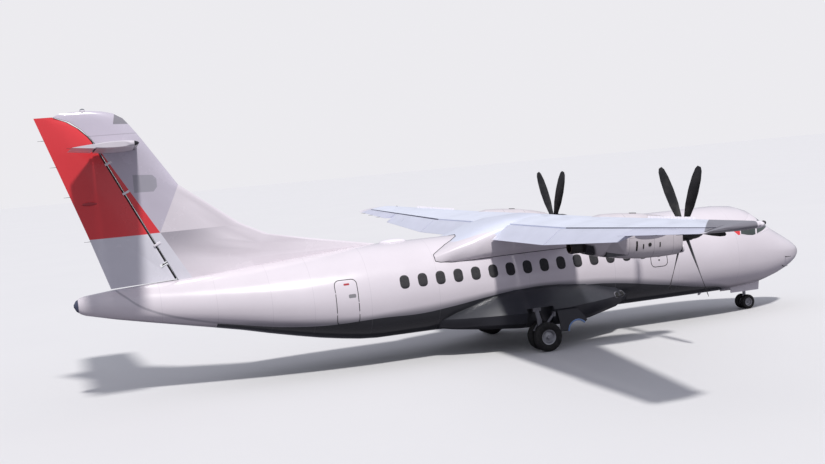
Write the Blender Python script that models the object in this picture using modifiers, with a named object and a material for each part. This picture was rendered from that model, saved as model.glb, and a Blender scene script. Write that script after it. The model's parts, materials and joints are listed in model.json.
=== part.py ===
"""High-wing regional turboprop airliner, parked on its gear.

Metres. +X points to the nose, +Y to the left wing tip, +Z up; the tyres stand on Z = 0 and the
origin is midway between nose and tail. Most sizes are given by station: metres aft of the nose tip.
"""
import math

import bmesh
import bpy
from mathutils import Matrix, Vector

# Driving dimensions
LENGTH = 22.67
SPAN = 24.57
TAIL_SPAN = 7.31
NOSE_X = LENGTH / 2
SEAT = 0.0003              # gap between faces that touch on the real aircraft
RUNNING = 0.0008           # end gap of a pin, shaft or hub that turns
AROUND = 32                # points round a fuselage section
LOWER_LOBE = 2.4           # superellipse power of the flattened lower half

# Fuselage: station, half width, crown height, keel height, height where it is widest
FUSELAGE = (
    (0.00, 0.035, 1.67, 1.59, 1.63),
    (0.06, 0.180, 1.79, 1.49, 1.64),
    (0.24, 0.375, 1.94, 1.34, 1.66),
    (0.70, 0.700, 2.24, 1.13, 1.71),
    (1.10, 0.905, 2.48, 0.99, 1.75),
    (1.50, 1.065, 2.79, 0.885, 1.79),
    (1.93, 1.200, 3.12, 0.79, 1.83),
    (2.35, 1.290, 3.27, 0.75, 1.87),
    (3.00, 1.385, 3.33, 0.715, 1.895),
    (4.20, 1.4325, 3.33, 0.71, 1.90),
    (14.20, 1.4325, 3.33, 0.71, 1.90),
    (15.20, 1.410, 3.26, 0.82, 1.93),
    (16.85, 1.270, 3.14, 1.15, 2.03),
    (17.90, 1.090, 3.07, 1.41, 2.12),
    (19.50, 0.740, 2.965, 1.75, 2.27),
    (21.15, 0.360, 2.88, 2.10, 2.46),
    (21.90, 0.230, 2.80, 2.29, 2.54),
    (22.12, 0.120, 2.70, 2.42, 2.56),
    (22.18, 0.030, 2.60, 2.54, 2.57),
)
# Fuselage sections: name, stations of the rings
SECTIONS = (
    ("nose", (0.0, 0.03, 0.09, 0.24, 0.45, 0.75, 1.10, 1.50, 1.93, 2.35, 3.00)),
    ("forward_fuselage", (3.00, 3.60, 4.20, 7.20)),
    ("centre_fuselage", (7.20, 12.60)),
    ("rear_fuselage", (12.60, 14.20, 14.70, 15.20, 15.80, 16.50, 17.20)),
    ("tail_fuselage", (17.20, 17.90, 18.70, 19.50, 20.30, 21.15, 21.90)),
    ("tail_cone", (21.90, 22.00, 22.12, 22.18)),
)
ALL_STATIONS = tuple(sorted({s for _, stations in SECTIONS for s in stations}))
TAIL_WALL = 0.08
TAIL_HOLLOW = (17.0, 21.5)     # stations between which the tail is hollow

# Cockpit glazing, seen from the side: station, height
GLAZING = ((0.90, 2.52), (1.75, 2.45), (2.35, 2.40), (2.86, 2.46), (2.88, 2.72), (2.35, 2.87), (1.98, 3.01),
           (0.90, 3.02))
GLASS = 0.028

# Doors: station of the front edge, rear edge, sill height, top height
CARGO_DOOR = (3.35, 4.62, 1.15, 2.68)
PASSENGER_DOOR = (14.85, 15.60, 1.34, 3.09)
SERVICE_DOOR = (14.91, 15.50, 1.34, 2.53)
DOOR_REACH = (0.40, 2.0)   # the door outlines are cut between these distances from the centre line
DOOR_MARGIN = (0.40, 0.15) # cutters run past a door's outline by this much, fore and aft and up and down
DOOR_THICK = 0.05
DOOR_GAP = 0.014
DOOR_BACK = 0.018
DOOR_CORNER = 0.12
SHUT_GAP = 0.004           # round the service door, which doesn't turn
DOOR_SLOPE = 0.5           # outboard rise of the passenger door's top edge, so that it swings clear
HINGE_OUT = 0.001          # a hinge bar's axis stands this far off the skin
HINGE_BAR = 0.016
HINGE_GAP = HINGE_BAR + RUNNING
HINGE_STUDS = (0.15, 0.85) # places along the bar of the studs that carry it
STUD_LENGTH = 0.06
STUD_GAP = 0.0004
STUD_RADII = (0.012, 0.004)    # at the skin and at the bar

# Wing: distance from the centre line, leading-edge station, leading-edge height, chord, thickness ratio
WING = (
    (0.0, 8.42, 3.45, 2.57, 0.18),
    (4.83, 8.42, 3.45, 2.57, 0.18),
    (SPAN / 2, 9.58, 3.775, 1.34, 0.13),
)
INCIDENCE = math.radians(2.0)
WING_CAMBER = 0.02
BOX_END = 0.72             # rear face of the fixed wing, as a share of the chord
KINK = 4.83
TIP_START = 11.95
FLAP_SET = math.radians(18.0)
FLAP_INNER = (1.42, 4.812)
FLAP_OUTER = (4.862, 8.705)
AILERON = (8.755, 11.93)
NOSE_GAP = 0.012           # ahead of the rounded nose of a flap, aileron or elevator
HINGE_BACK = 0.03          # the nose's radius is read this share of the chord behind the fixed wing
NOSE_SHARE = 0.94          # nose radius, as a share of the half thickness there
EDGE_HALF = 0.002          # half thickness of a trailing edge
RIB_HALF = (0.03, 0.035)   # a rib's reach behind the hinge line, half height
RIBS = ((1.386, 1.400), (4.831, 4.845), (8.722, 8.738))
PIN = 0.008

# Tailplane: distance from the centre line, leading-edge station, chord
TAILPLANE = ((0.0, 20.17, 1.78), (TAIL_SPAN / 2, 20.40, 1.50))
TAILPLANE_Z = 6.55
TAILPLANE_THICK = 0.11
TAIL_BOX_END = 0.64
HORN_START = 3.385
RUDDER_NOTCH = (0.15, 0.23)    # notch for the rudder: reach ahead of its hinge, half width
ELEVATOR_BRACKET = (0.235, 0.2512)
ELEVATOR_ROOT = 0.27
ELEVATOR_CUT = 0.60        # slope of the elevator's inner end, which clears the rudder

# Fin: height, leading-edge station, greatest half thickness
FIN = (
    (2.85, 13.00, 0.17), (3.33, 13.90, 0.17), (3.48, 14.67, 0.165), (3.70, 15.81, 0.16), (3.93, 16.91, 0.16),
    (4.30, 17.65, 0.155), (4.92, 18.46, 0.15), (5.49, 19.20, 0.14), (6.20, 19.66, 0.13), (6.80, 20.05, 0.12),
    (6.93, 20.14, 0.118), (7.15, 20.30, 0.11), (7.34, 20.45, 0.10), (7.49, 20.70, 0.08), (7.56, 20.98, 0.05),
    (7.59, 21.28, 0.025),
)
FIN_CROWN = ((7.49, 22.19), (7.56, 22.06), (7.59, 21.72))    # rear end of the fin tip: height, station
FIN_FRONT = (19.20, 5.49, 0.66) # a point of the leading edge that runs on down inside the strake, and its slope
FIN_SHARES = (1.0, 0.82, 0.64, 0.48, 0.34, 0.22, 0.12, 0.05, 0.015)
FIN_REAR = 0.80            # thickness at the rudder's hinge, as a share of the greatest
FIN_THICKEST = 0.35        # share of the chord where it is thickest
STRAKE = 0.30              # the strake's thickness, as a share of the fin's
HINGE_LOW = (19.58, 2.95)      # rudder hinge line: station, height
HINGE_TOP = (21.36, 6.80)
# Rudder's front edge above the hinge line: height, station
RUDDER_CROWN = ((6.80, 21.36), (6.93, 21.45), (7.15, 21.66), (7.34, 21.92), (7.49, 22.24))
# Rudder's trailing edge: height, station
RUDDER_TAIL = ((2.88, 21.16), (5.34, 21.96), (7.49, LENGTH))
RUDDER_GAP = 0.014
CROWN_GAP = 0.20           # extra gap in the crown, as a share of the nose's distance from the hinge line
RUDDER_FOOT = 0.03         # the rudder's lower edge stands this far above the fuselage crown
BRACKET_Z = 3.40           # hinge bracket in a notch of the rudder's nose
BRACKET_HALF = 0.010
BRACKET_NOTCH = (0.10, 0.05)

# Propellers and nacelles
ENGINE_Y = 4.05
HUB_Z = 3.065
PROP_RADIUS = 1.965
PROP_STATION = 6.45
HUB_RADIUS = 0.29
HUB_HALF = 0.20
BLADES = 6
SPINNER_LENGTH = 0.42
# Blade: share of the radius, chord, thickness ratio, pitch in degrees from the disc
BLADE = ((0.12, 0.13, 0.70, 62), (0.22, 0.16, 0.38, 57), (0.40, 0.25, 0.12, 47), (0.62, 0.29, 0.07, 38),
         (0.82, 0.27, 0.05, 31), (0.95, 0.20, 0.04, 27), (1.00, 0.10, 0.04, 26))
# Nacelle: station, half width, top, bottom
NACELLE = (
    (6.70, 0.34, 3.40, 2.50), (6.80, 0.38, 3.45, 2.45), (7.20, 0.44, 3.55, 2.44), (7.80, 0.48, 3.66, 2.45),
    (8.40, 0.48, 3.72, 2.52), (8.90, 0.45, 3.74, 2.61), (9.30, 0.38, 3.67, 2.70), (9.50, 0.30, 3.56, 2.76),
)
ENGINE = (6.95, 8.95, 0.30, 2.62, 3.14)    # front, rear, half width, bottom, top
BAY_GAP = 0.03
SHAFT = 0.11
SHAFT_HOLE = 0.209
NACELLE_LOBE = 2.5         # superellipse power of its sections
INTAKE = (6.60, 7.05, 0.20, 2.53, 2.70)    # front, rear, half width, bottom, top
EXHAUST = (9.50, 9.87, 2.965, 0.165, 0.14) # front, rear, height, outer and inner radius

# Belly and gear fairing: station, half width, shoulder height, top, bottom
GEAR_FAIRING = (
    (6.45, 0.70, 1.00, 1.20, 0.86), (6.95, 1.42, 1.18, 1.42, 0.90), (7.20, 1.62, 1.19, 1.52, 0.80),
    (8.20, 1.95, 1.15, 1.72, 0.61), (9.00, 2.05, 1.11, 1.80, 0.545), (10.40, 2.05, 1.10, 1.80, 0.59),
    (11.30, 1.80, 1.10, 1.66, 0.66), (12.10, 1.45, 1.10, 1.45, 0.74), (12.55, 1.10, 1.10, 1.30, 0.80),
)
# Wing root fairing: station, half width, top
ROOT_FAIRING = (
    (7.45, 0.55, 3.25), (7.90, 1.15, 3.44), (8.45, 1.34, 3.62), (9.20, 1.37, 3.74), (10.20, 1.37, 3.70),
    (10.95, 1.37, 3.55), (11.45, 1.34, 3.35), (12.10, 1.27, 3.14), (12.55, 1.16, 2.95),
)
ROOT_FAIRING_LOW = 2.57
ROOT_LOBE = 4.0            # superellipse power of its sections
BODY_STEPS = 20            # points round the root fairing and the nacelles

# Landing gear: station of the axle, tyre radius, tyre width, wheel spacing, rim radius, axle radius
MAIN_WHEEL = (9.86, 0.405, 0.22, 0.42, 0.20, 0.035)
NOSE_WHEEL = (2.00, 0.225, 0.165, 0.31, 0.115, 0.022)
TRACK = 4.10
LEG_TOP_Y = 1.86           # the main legs lean in towards the fairing's roof
BORE_GAP = 0.0008
WHEEL_STEPS = 20
MAIN_BAY = (9.50, 10.30, 1.70, 2.40, 0.30, 1.20)    # front, rear, inner, outer, bottom, roof
NOSE_BAY = (1.60, 2.72, 0.30, 0.40, 1.00)           # front, rear, half width, bottom, roof
NOSE_DOOR = (1.62, 2.70, 0.59, 0.92, 0.020)         # front, rear, bottom, top, thickness
MAIN_DOOR_THICK = 0.025
MAIN_DOOR_LUGS = (8.90, 9.38)
MAIN_DOOR_ARC = (8.83, 0.45, 0.29)                  # station, height, radius of the wheel cut-out
JACK_PAD = 0.07
JACK_PADS = ((3.30, 0.0), (9.25, 0.95), (9.25, -0.95))

WHITE = ("white_paint", (0.80, 0.75, 0.79), 0.30, 0.0)
GREY = ("wing_grey_paint", (0.58, 0.62, 0.76), 0.35, 0.0)
RED = ("red_paint", (0.75, 0.05, 0.06), 0.32, 0.0)
DARK = ("charcoal_paint", (0.045, 0.045, 0.055), 0.40, 0.0)
BLACK = ("black_blade_paint", (0.02, 0.02, 0.022), 0.45, 0.0)
GLAZED = ("cockpit_glass", (0.03, 0.04, 0.04), 0.08, 0.0)
STEEL = ("gear_steel", (0.55, 0.56, 0.58), 0.35, 1.0)
RIM = ("wheel_alloy", (0.60, 0.60, 0.63), 0.40, 1.0)
TYRE = ("tyre_rubber", (0.02, 0.02, 0.02), 0.80, 0.0)
HOT = ("exhaust_metal", (0.10, 0.09, 0.09), 0.50, 1.0)
CAST = ("engine_casing", (0.30, 0.30, 0.31), 0.50, 1.0)


def clear_scene():
    for item in list(bpy.data.objects):
        bpy.data.objects.remove(item, do_unlink=True)


def new_collection(name):
    made = bpy.data.collections.new(name)
    bpy.context.scene.collection.children.link(made)
    return made


clear_scene()
PARTS = new_collection("turboprop_airliner")
TOOLS = new_collection("cutters")


def material(finish):
    name, colour, roughness, metallic = finish
    made = bpy.data.materials.get(name)
    if made is None:
        made = bpy.data.materials.new(name)
        made.use_nodes = True
        shader = made.node_tree.nodes["Principled BSDF"]
        shader.inputs["Base Color"].default_value = (*colour, 1.0)
        shader.inputs["Roughness"].default_value = roughness
        shader.inputs["Metallic"].default_value = metallic
    return made


def add(name, mesh, finish=None):
    """Put a mesh in the scene: a part when it has a finish, otherwise a cutter."""
    item = bpy.data.objects.new(name, mesh)
    if finish is None:
        TOOLS.objects.link(item)
        item.hide_render = True
        item.display_type = "WIRE"
    else:
        PARTS.objects.link(item)
        mesh.materials.append(material(finish))
    return item


def from_bmesh(name, shape, finish=None):
    bmesh.ops.recalc_face_normals(shape, faces=shape.faces)
    if shape.calc_volume(signed=True) < 0:
        bmesh.ops.reverse_faces(shape, faces=shape.faces)
    mesh = bpy.data.meshes.new(name)
    shape.to_mesh(mesh)
    shape.free()
    mesh.shade_smooth()
    mesh.set_sharp_from_angle(angle=math.radians(35))
    return add(name, mesh, finish)


def loft(name, rings, finish=None):
    """A closed body through rings of equal length, with flat ends.

    The diagonals always run the same way, so a skin and its offset copy stay parallel.
    """
    shape = bmesh.new()
    rows = [[shape.verts.new(point) for point in ring] for ring in rings]
    count = len(rows[0])
    for near, far in zip(rows, rows[1:]):
        for k in range(count):
            after = (k + 1) % count
            shape.faces.new((near[k], near[after], far[after]))
            shape.faces.new((near[k], far[after], far[k]))
    shape.faces.new(rows[0])
    shape.faces.new(rows[-1])
    return from_bmesh(name, shape, finish)


def box(name, low, high, finish=None):
    shape = bmesh.new()
    bmesh.ops.create_cube(shape, size=1.0)
    low, high = Vector(low), Vector(high)
    bmesh.ops.scale(shape, vec=high - low, verts=shape.verts)
    bmesh.ops.translate(shape, vec=(low + high) / 2, verts=shape.verts)
    return from_bmesh(name, shape, finish)


def rod(name, start, end, radius, finish=None, end_radius=None, steps=24):
    shape = bmesh.new()
    start, end = Vector(start), Vector(end)
    along = end - start
    bmesh.ops.create_cone(shape, cap_ends=True, segments=steps, radius1=radius,
                          radius2=radius if end_radius is None else end_radius, depth=along.length)
    turn = along.to_track_quat("Z", "Y").to_matrix().to_4x4()
    shape.transform(Matrix.Translation((start + end) / 2) @ turn)
    return from_bmesh(name, shape, finish)


def prism(name, outline, near, far, finish=None):
    """An outline of (station, height) extruded across the aircraft; a third value lifts it outboard."""
    rings = [[place(s, y, z + sum(rise) * abs(y)) for s, z, *rise in outline] for y in (near, far)]
    return loft(name, rings, finish)


def turned(name, profile, centre, axis, finish, steps=WHEEL_STEPS):
    """A profile of (radius, distance along the axis) turned by a Screw modifier."""
    mesh = bpy.data.meshes.new(name)
    closed = profile[0][0] > 0
    edges = [(k, k + 1) for k in range(len(profile) - 1)]
    if closed:
        edges.append((len(profile) - 1, 0))
    mesh.from_pydata([(radius, 0.0, along) for radius, along in profile], edges, [])
    item = add(name, mesh, finish)
    item.location = centre
    item.rotation_euler = Vector(axis).to_track_quat("Z", "Y").to_euler()
    screw = item.modifiers.new("Turn", "SCREW")
    screw.steps = steps
    screw.render_steps = steps
    screw.use_merge_vertices = True
    screw.merge_threshold = 0.00005
    screw.use_smooth_shade = True
    return item


def boolean(target, tool, operation):
    change = target.modifiers.new(operation.title() + " " + tool.name, "BOOLEAN")
    change.object = tool
    change.operation = operation
    change.solver = "EXACT"


def cut(target, tool):
    boolean(target, tool, "DIFFERENCE")


def keep(target, tool):
    boolean(target, tool, "INTERSECT")


def join(target, tool):
    boolean(target, tool, "UNION")


def pivot(item, point):
    """Move an object's origin onto its joint's axis."""
    point = Vector(point)
    item.data.transform(Matrix.Translation(-point))
    item.location = point


def place(station, y, z):
    return Vector((NOSE_X - station, y, z))


def smooth(table, value, column):
    """Read one column of a table at a value of its first column, without overshoot."""
    rows = [(row[0], row[column]) for row in table]
    if value <= rows[0][0]:
        return rows[0][1]
    if value >= rows[-1][0]:
        return rows[-1][1]
    slopes = [(b[1] - a[1]) / (b[0] - a[0]) for a, b in zip(rows, rows[1:])]
    here = max(k for k in range(len(rows) - 1) if rows[k][0] <= value)
    wide = rows[here + 1][0] - rows[here][0]

    def tangent(k):
        if k == 0 or k == len(rows) - 1:
            return slopes[min(k, len(slopes) - 1)]
        before, after = slopes[k - 1], slopes[k]
        return 0.0 if before * after <= 0 else 2 * before * after / (before + after)

    t = (value - rows[here][0]) / wide
    start, end = rows[here][1], rows[here + 1][1]
    return ((2 * t**3 - 3 * t**2 + 1) * start + (t**3 - 2 * t**2 + t) * wide * tangent(here)
            + (3 * t**2 - 2 * t**3) * end + (t**3 - t**2) * wide * tangent(here + 1))


def straight(table, value, column):
    """Read one column of a table at a value of its first column, by straight lines."""
    for a, b in zip(table, table[1:]):
        if value <= b[0] or b is table[-1]:
            share = (value - a[0]) / (b[0] - a[0])
            return a[column] + share * (b[column] - a[column])


# Fuselage

def fuselage_ring(station, inset=0.0):
    half, crown, keel, wide_z = (smooth(FUSELAGE, station, column) for column in (1, 2, 3, 4))
    half, crown, keel = half - inset, crown - inset, keel + inset
    ring = []
    for k in range(AROUND):
        angle = 2 * math.pi * k / AROUND
        across, up = math.cos(angle), math.sin(angle)
        if up >= 0:
            ring.append(place(station, half * across, wide_z + (crown - wide_z) * up))
        else:
            power = 2 / LOWER_LOBE
            y = half * math.copysign(abs(across) ** power, across)
            ring.append(place(station, y, wide_z - (wide_z - keel) * abs(up) ** power))
    return ring


def skin_y(station, z):
    """Half width of the faceted fuselage skin at a height."""
    ring = fuselage_ring(station)
    for a, b in zip(ring, ring[1:]):
        if a.y > 0 and b.y > 0 and a.z <= z < b.z:
            return a.y + (b.y - a.y) * (z - a.z) / (b.z - a.z)
    quarter = [p for p in ring if p.y > 0 and p.z < ring[0].z]
    for a, b in zip(quarter, quarter[1:]):
        if a.z <= z <= b.z:
            return a.y + (b.y - a.y) * (z - a.z) / (b.z - a.z)
    return ring[0].y


def fuselage_tool(name, inset, first=0.0, last=22.12):
    """The fuselage, or its inside at a depth, as a cutter between two stations."""
    stations = [s for s in ALL_STATIONS if first < s < last]
    return loft(name, [fuselage_ring(s, inset) for s in [first, *stations, last]])


def make_fuselage():
    made = {}
    for name, stations in SECTIONS:
        rings = [fuselage_ring(s) for s in stations]
        if stations[-1] < ALL_STATIONS[-1]:
            rings[-1] = [point + Vector((SEAT, 0, 0)) for point in rings[-1]]
        made[name] = loft(name, rings, WHITE)
    cut(made["tail_fuselage"], fuselage_tool("tail_hollow", TAIL_WALL, *TAIL_HOLLOW))
    return made


def door_outline(door, side_gap=0.0, top_gap=0.0, sill_gap=0.0, slope=0.0):
    """Rounded outline of (station, height, outboard rise); only the top edge rises outboard."""
    corner = DOOR_CORNER
    front, rear, sill, top = door
    middle = (front + rear) / 2
    low = sill - sill_gap
    high = top - slope * skin_y(middle, top) + top_gap
    left, right = front - side_gap, rear + side_gap
    points = []
    for s, z, first, rise in ((right, high, 0, slope), (left, high, 90, slope), (left, low, 180, 0.0),
                              (right, low, 270, 0.0)):
        centre_s = s - math.copysign(corner, s - middle)
        centre_z = z - math.copysign(corner, z - (low + high) / 2)
        for step in range(4):
            angle = math.radians(first + 30 * step)
            points.append((centre_s + corner * math.cos(angle), centre_z + corner * math.sin(angle), rise))
    return points


def make_door(name, door, side, section, back, gaps, slope=0.0):
    """A skin panel in its own recess; the panel and the recess share one outline."""
    near, far = side * DOOR_REACH[0], side * DOOR_REACH[1]
    along, above = DOOR_MARGIN
    reach = (door[0] - along, door[1] + along)
    recess = prism(name + "_recess", door_outline(door, *gaps, slope), near, far)
    window = box(name + "_window", (NOSE_X - reach[1], min(near, far), door[2] - above),
                 (NOSE_X - reach[0], max(near, far), door[3] + above))
    keep(recess, window)
    cut(recess, fuselage_tool(name + "_recess_floor", DOOR_THICK + back, *reach))
    cut(section, recess)
    panel = loft(name, [fuselage_ring(s) for s in (reach[0], *[s for s in ALL_STATIONS if reach[0] < s < reach[1]],
                                                   reach[1])], WHITE)
    keep(panel, prism(name + "_edge", door_outline(door, slope=slope), near, far))
    keep(panel, window)
    cut(panel, fuselage_tool(name + "_inside", DOOR_THICK, *reach))
    return panel


def hinge_line(door, z):
    """Ends of a door's hinge bar, along the straight part of its edge on the left skin."""
    return [place(s, skin_y(s, z) + HINGE_OUT, z) for s in (door[0] + DOOR_CORNER, door[1] - DOOR_CORNER)]


def hang_door(door, section, ends, angle):
    """A bar along the door's edge, and studs of the fuselage that stop just short of the bar.

    The studs come in at an angle that the door never sweeps, measured in the fuselage section.
    """
    join(door, rod(door.name + "_bar", *ends, HINGE_BAR, steps=12))
    away = Vector((0, math.cos(math.radians(angle)), math.sin(math.radians(angle))))
    for share in HINGE_STUDS:
        middle = ends[0].lerp(ends[1], share)
        join(section, rod(f"{door.name}_stud_{round(share * 100)}", middle + away * STUD_LENGTH,
                          middle + away * (HINGE_BAR + STUD_GAP), STUD_RADII[0], end_radius=STUD_RADII[1], steps=10))


def make_doors(sections):
    """Gaps are given for the sides, the top and the sill."""
    forward, rear = sections["forward_fuselage"], sections["rear_fuselage"]
    cargo = make_door("cargo_door", CARGO_DOOR, 1, forward, DOOR_BACK, (DOOR_GAP, HINGE_GAP, DOOR_GAP))
    hang_door(cargo, forward, hinge_line(CARGO_DOOR, CARGO_DOOR[3]), 135)
    passenger = make_door("passenger_door", PASSENGER_DOOR, 1, rear, DOOR_BACK, (DOOR_GAP, DOOR_GAP, HINGE_GAP),
                          slope=DOOR_SLOPE)
    hang_door(passenger, rear, hinge_line(PASSENGER_DOOR, PASSENGER_DOOR[2]), -130)
    make_door("service_door", SERVICE_DOOR, -1, rear, SEAT, (SHUT_GAP, SHUT_GAP, SHUT_GAP))


def make_glazing(nose):
    recess = prism("glazing_recess", GLAZING, -2.0, 2.0)
    cut(recess, fuselage_tool("glazing_floor", GLASS + SEAT, 0.5, 3.3))
    cut(nose, recess)
    glass = loft("cockpit_glazing", [fuselage_ring(s) for s in ALL_STATIONS if 0.4 < s < 3.1], GLAZED)
    middle = Vector((sum(s for s, _ in GLAZING), sum(z for _, z in GLAZING))) / len(GLAZING)
    shrunk = []
    for s, z in GLAZING:
        shrunk.append((s - math.copysign(0.003, s - middle.x), z - math.copysign(0.003, z - middle.y)))
    keep(glass, prism("glazing_edge", shrunk, -2.0, 2.0))
    cut(glass, fuselage_tool("glazing_inside", GLASS, 0.5, 3.3))


# Wing

def half_thickness(share, ratio):
    """Half thickness of a four-digit section, as a share of the chord."""
    return 5 * ratio * (0.2969 * math.sqrt(share) - 0.1260 * share - 0.3516 * share**2
                        + 0.2843 * share**3 - 0.1036 * share**4)


def wing_point(y, share, side, grow=0.0):
    """A point on the wing skin; side is 1 above, -1 below and 0 on the mean line."""
    lead_s, lead_z, chord, ratio = (straight(WING, abs(y), column) for column in (1, 2, 3, 4))
    rise = WING_CAMBER * 4 * share * (1 - share) * chord
    rise += side * (half_thickness(share, ratio) * chord + grow)
    run = share * chord - (grow if share == 0 else 0)
    return place(lead_s + run * math.cos(INCIDENCE) + rise * math.sin(INCIDENCE), y,
                 lead_z - run * math.sin(INCIDENCE) + rise * math.cos(INCIDENCE))


SHARES = (0.56, 0.42, 0.30, 0.20, 0.12, 0.06, 0.02)


def wing_ring(y, rear=BOX_END, grow=0.0):
    above = [wing_point(y, share, 1, grow) for share in (rear, *SHARES)]
    below = [wing_point(y, share, -1, grow) for share in (*reversed(SHARES), rear)]
    return above + [wing_point(y, 0.0, 0, grow)] + below


def flap_hinge(y):
    """Centre and radius of the rounded nose of a flap or aileron."""
    upper, lower = wing_point(y, BOX_END + HINGE_BACK, 1), wing_point(y, BOX_END + HINGE_BACK, -1)
    radius = (upper - lower).length / 2 * NOSE_SHARE
    rear_face = (wing_point(y, BOX_END, 1) + wing_point(y, BOX_END, -1)) / 2
    return rear_face - Vector((radius + NOSE_GAP, 0, 0)), radius


def flap_ring(y, droop):
    centre, radius = flap_hinge(y)
    ring = []
    for share in (1.0, 0.88):
        ring.append(wing_point(y, share, 1))
    for step in range(7):
        angle = math.radians(90 - 30 * step)
        ring.append(centre + radius * Vector((math.cos(angle), 0, math.sin(angle))))
    for share in (0.88, 1.0):
        ring.append(wing_point(y, share, -1))
    ring[0].z += EDGE_HALF
    ring[-1].z -= EDGE_HALF
    turn = Matrix.Rotation(-droop, 3, "Y")
    return [turn @ (point - centre) + centre for point in ring]


def flap_pin(item, y, sign, reach):
    """A pin on the hinge line that ends just short of the rib beside it."""
    centre, _ = flap_hinge(y)
    tip, _ = flap_hinge(reach)
    root = centre + (centre - tip).normalized() * 0.03
    names = {1: "left", -1: "right"}
    flip = Matrix.Diagonal((1, sign, 1))
    join(item, rod(f"{item.name}_pin_{names[sign]}_{round(reach * 1000)}", flip @ root, flip @ tip, PIN, steps=12))


def make_wing_surface(name, span, sign, droop, reaches, finish):
    rings = [flap_ring(y, droop) for y in span]
    flip = Matrix.Diagonal((1, sign, 1))
    item = loft(name, [[flip @ point for point in ring] for ring in rings], finish)
    for y, reach in zip(span, reaches):
        flap_pin(item, y, sign, reach)
    pivot(item, flip @ flap_hinge(span[0])[0])


def rib(name, span, sign):
    """A thin hinge rib behind the rear spar."""
    centre, _ = flap_hinge(sum(span) / 2)
    front = wing_point(span[0], BOX_END - 0.02, 0).x
    ys = sorted(sign * y for y in span)
    low = (centre.x - RIB_HALF[0], ys[0], centre.z - RIB_HALF[1])
    high = (front, ys[1], centre.z + RIB_HALF[1])
    return box(name, low, high)


def make_wing():
    centre = loft("wing_centre", [wing_ring(y) for y in (-KINK, KINK)], GREY)
    for side, sign in (("left", 1), ("right", -1)):
        join(centre, rib(f"rib_inner_{side}", RIBS[0], sign))
        flip = Matrix.Diagonal((1, sign, 1))
        rings = [wing_ring(y) for y in (KINK + SEAT, TIP_START)]
        outer = loft(f"wing_outer_{side}", [[flip @ p for p in ring] for ring in rings], GREY)
        for k, span in enumerate(RIBS[1:]):
            join(outer, rib(f"rib_{side}_{k}", span, sign))
        make_wing_tip(side, flip)
        ends = (RIBS[0][1] + RUNNING, RIBS[1][0] - RUNNING)
        make_wing_surface(f"flap_inner_{side}", FLAP_INNER, sign, FLAP_SET, ends, GREY)
        ends = (RIBS[1][1] + RUNNING, RIBS[2][0] - RUNNING)
        make_wing_surface(f"flap_outer_{side}", FLAP_OUTER, sign, FLAP_SET, ends, GREY)
        ends = (RIBS[2][1] + RUNNING, TIP_START + SEAT - RUNNING)
        make_wing_surface(f"aileron_{side}", AILERON, sign, 0.0, ends, GREY)
    cut(centre, fuselage_tool("saddle", -SEAT, 7.0, 12.9))


def make_wing_tip(side, flip):
    """Rounded tip: the leading edge sweeps back and the section thins towards the end."""
    rings = []
    for share in (0.0, 0.35, 0.65, 0.86, 0.97, 1.0):
        y = TIP_START + SEAT + share * (SPAN / 2 - TIP_START - SEAT)
        bend = math.sqrt(1 - 0.96 * share**2)
        base = wing_ring(y, rear=1.0)
        tail = (base[0] + base[-1]) / 2
        middle = wing_point(y, 0.4, 0).z
        ring = []
        for point in base:
            along = tail.x + (point.x - tail.x) * (0.45 + 0.55 * bend)
            ring.append(Vector((along, y, middle + (point.z - middle) * (0.12 + 0.88 * bend))))
        ring[0].z += EDGE_HALF
        ring[-1].z -= EDGE_HALF
        rings.append([flip @ point for point in ring])
    loft(f"wing_tip_{side}", rings, WHITE)


def make_root_fairing():
    rings = []
    for station, half, top in ROOT_FAIRING:
        middle, tall = (top + ROOT_FAIRING_LOW) / 2, (top - ROOT_FAIRING_LOW) / 2
        ring = []
        for k in range(BODY_STEPS):
            angle = 2 * math.pi * (k + 0.5) / BODY_STEPS
            across, up = math.cos(angle), math.sin(angle)
            power = 2 / ROOT_LOBE
            ring.append(place(station, half * math.copysign(abs(across) ** power, across),
                              middle + tall * math.copysign(abs(up) ** power, up)))
        rings.append(ring)
    fairing = loft("wing_root_fairing", rings, WHITE)
    cut(fairing, fuselage_tool("fairing_seat", -SEAT, 7.0, 13.0))
    cut(fairing, loft("fairing_wing_slot", [wing_ring(y, BOX_END + 0.0005, SEAT) for y in (-2.0, 2.0)]))


# Tail

def hinge_station(z):
    share = (z - HINGE_LOW[1]) / (HINGE_TOP[1] - HINGE_LOW[1])
    return HINGE_LOW[0] + share * (HINGE_TOP[0] - HINGE_LOW[0])


HINGE_AXIS = (place(HINGE_TOP[0], 0, HINGE_TOP[1]) - place(HINGE_LOW[0], 0, HINGE_LOW[1])).normalized()


def rudder_front(z):
    """Station of the rudder's nose centre: on the hinge line, then along the curved crown."""
    return hinge_station(z) if z <= HINGE_TOP[1] else straight(RUDDER_CROWN, z, 1)


def fin_half(z):
    """Half thickness of the fin at the rudder hinge."""
    return FIN_REAR * straight(FIN, z, 2)


def rudder_nose(z):
    """Radius of the rudder's rounded nose."""
    half = fin_half(z) * 0.90
    if z > HINGE_TOP[1]:
        tail = straight(RUDDER_TAIL, z, 1)
        half *= max(0.25, (tail - rudder_front(z)) / (tail - hinge_station(z)))
    return half


def rudder_ring(z):
    front, half = rudder_front(z), rudder_nose(z)
    tail = straight(RUDDER_TAIL, z, 1)
    ring = [place(tail, 0.003, z), place(front + 0.55 * (tail - front), 0.52 * half, z)]
    for step in range(7):
        angle = math.radians(90 - 30 * step)
        ring.append(place(front - half * math.cos(angle), half * math.sin(angle), z))
    ring += [place(front + 0.55 * (tail - front), -0.52 * half, z), place(tail, -0.003, z)]
    return ring


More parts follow.
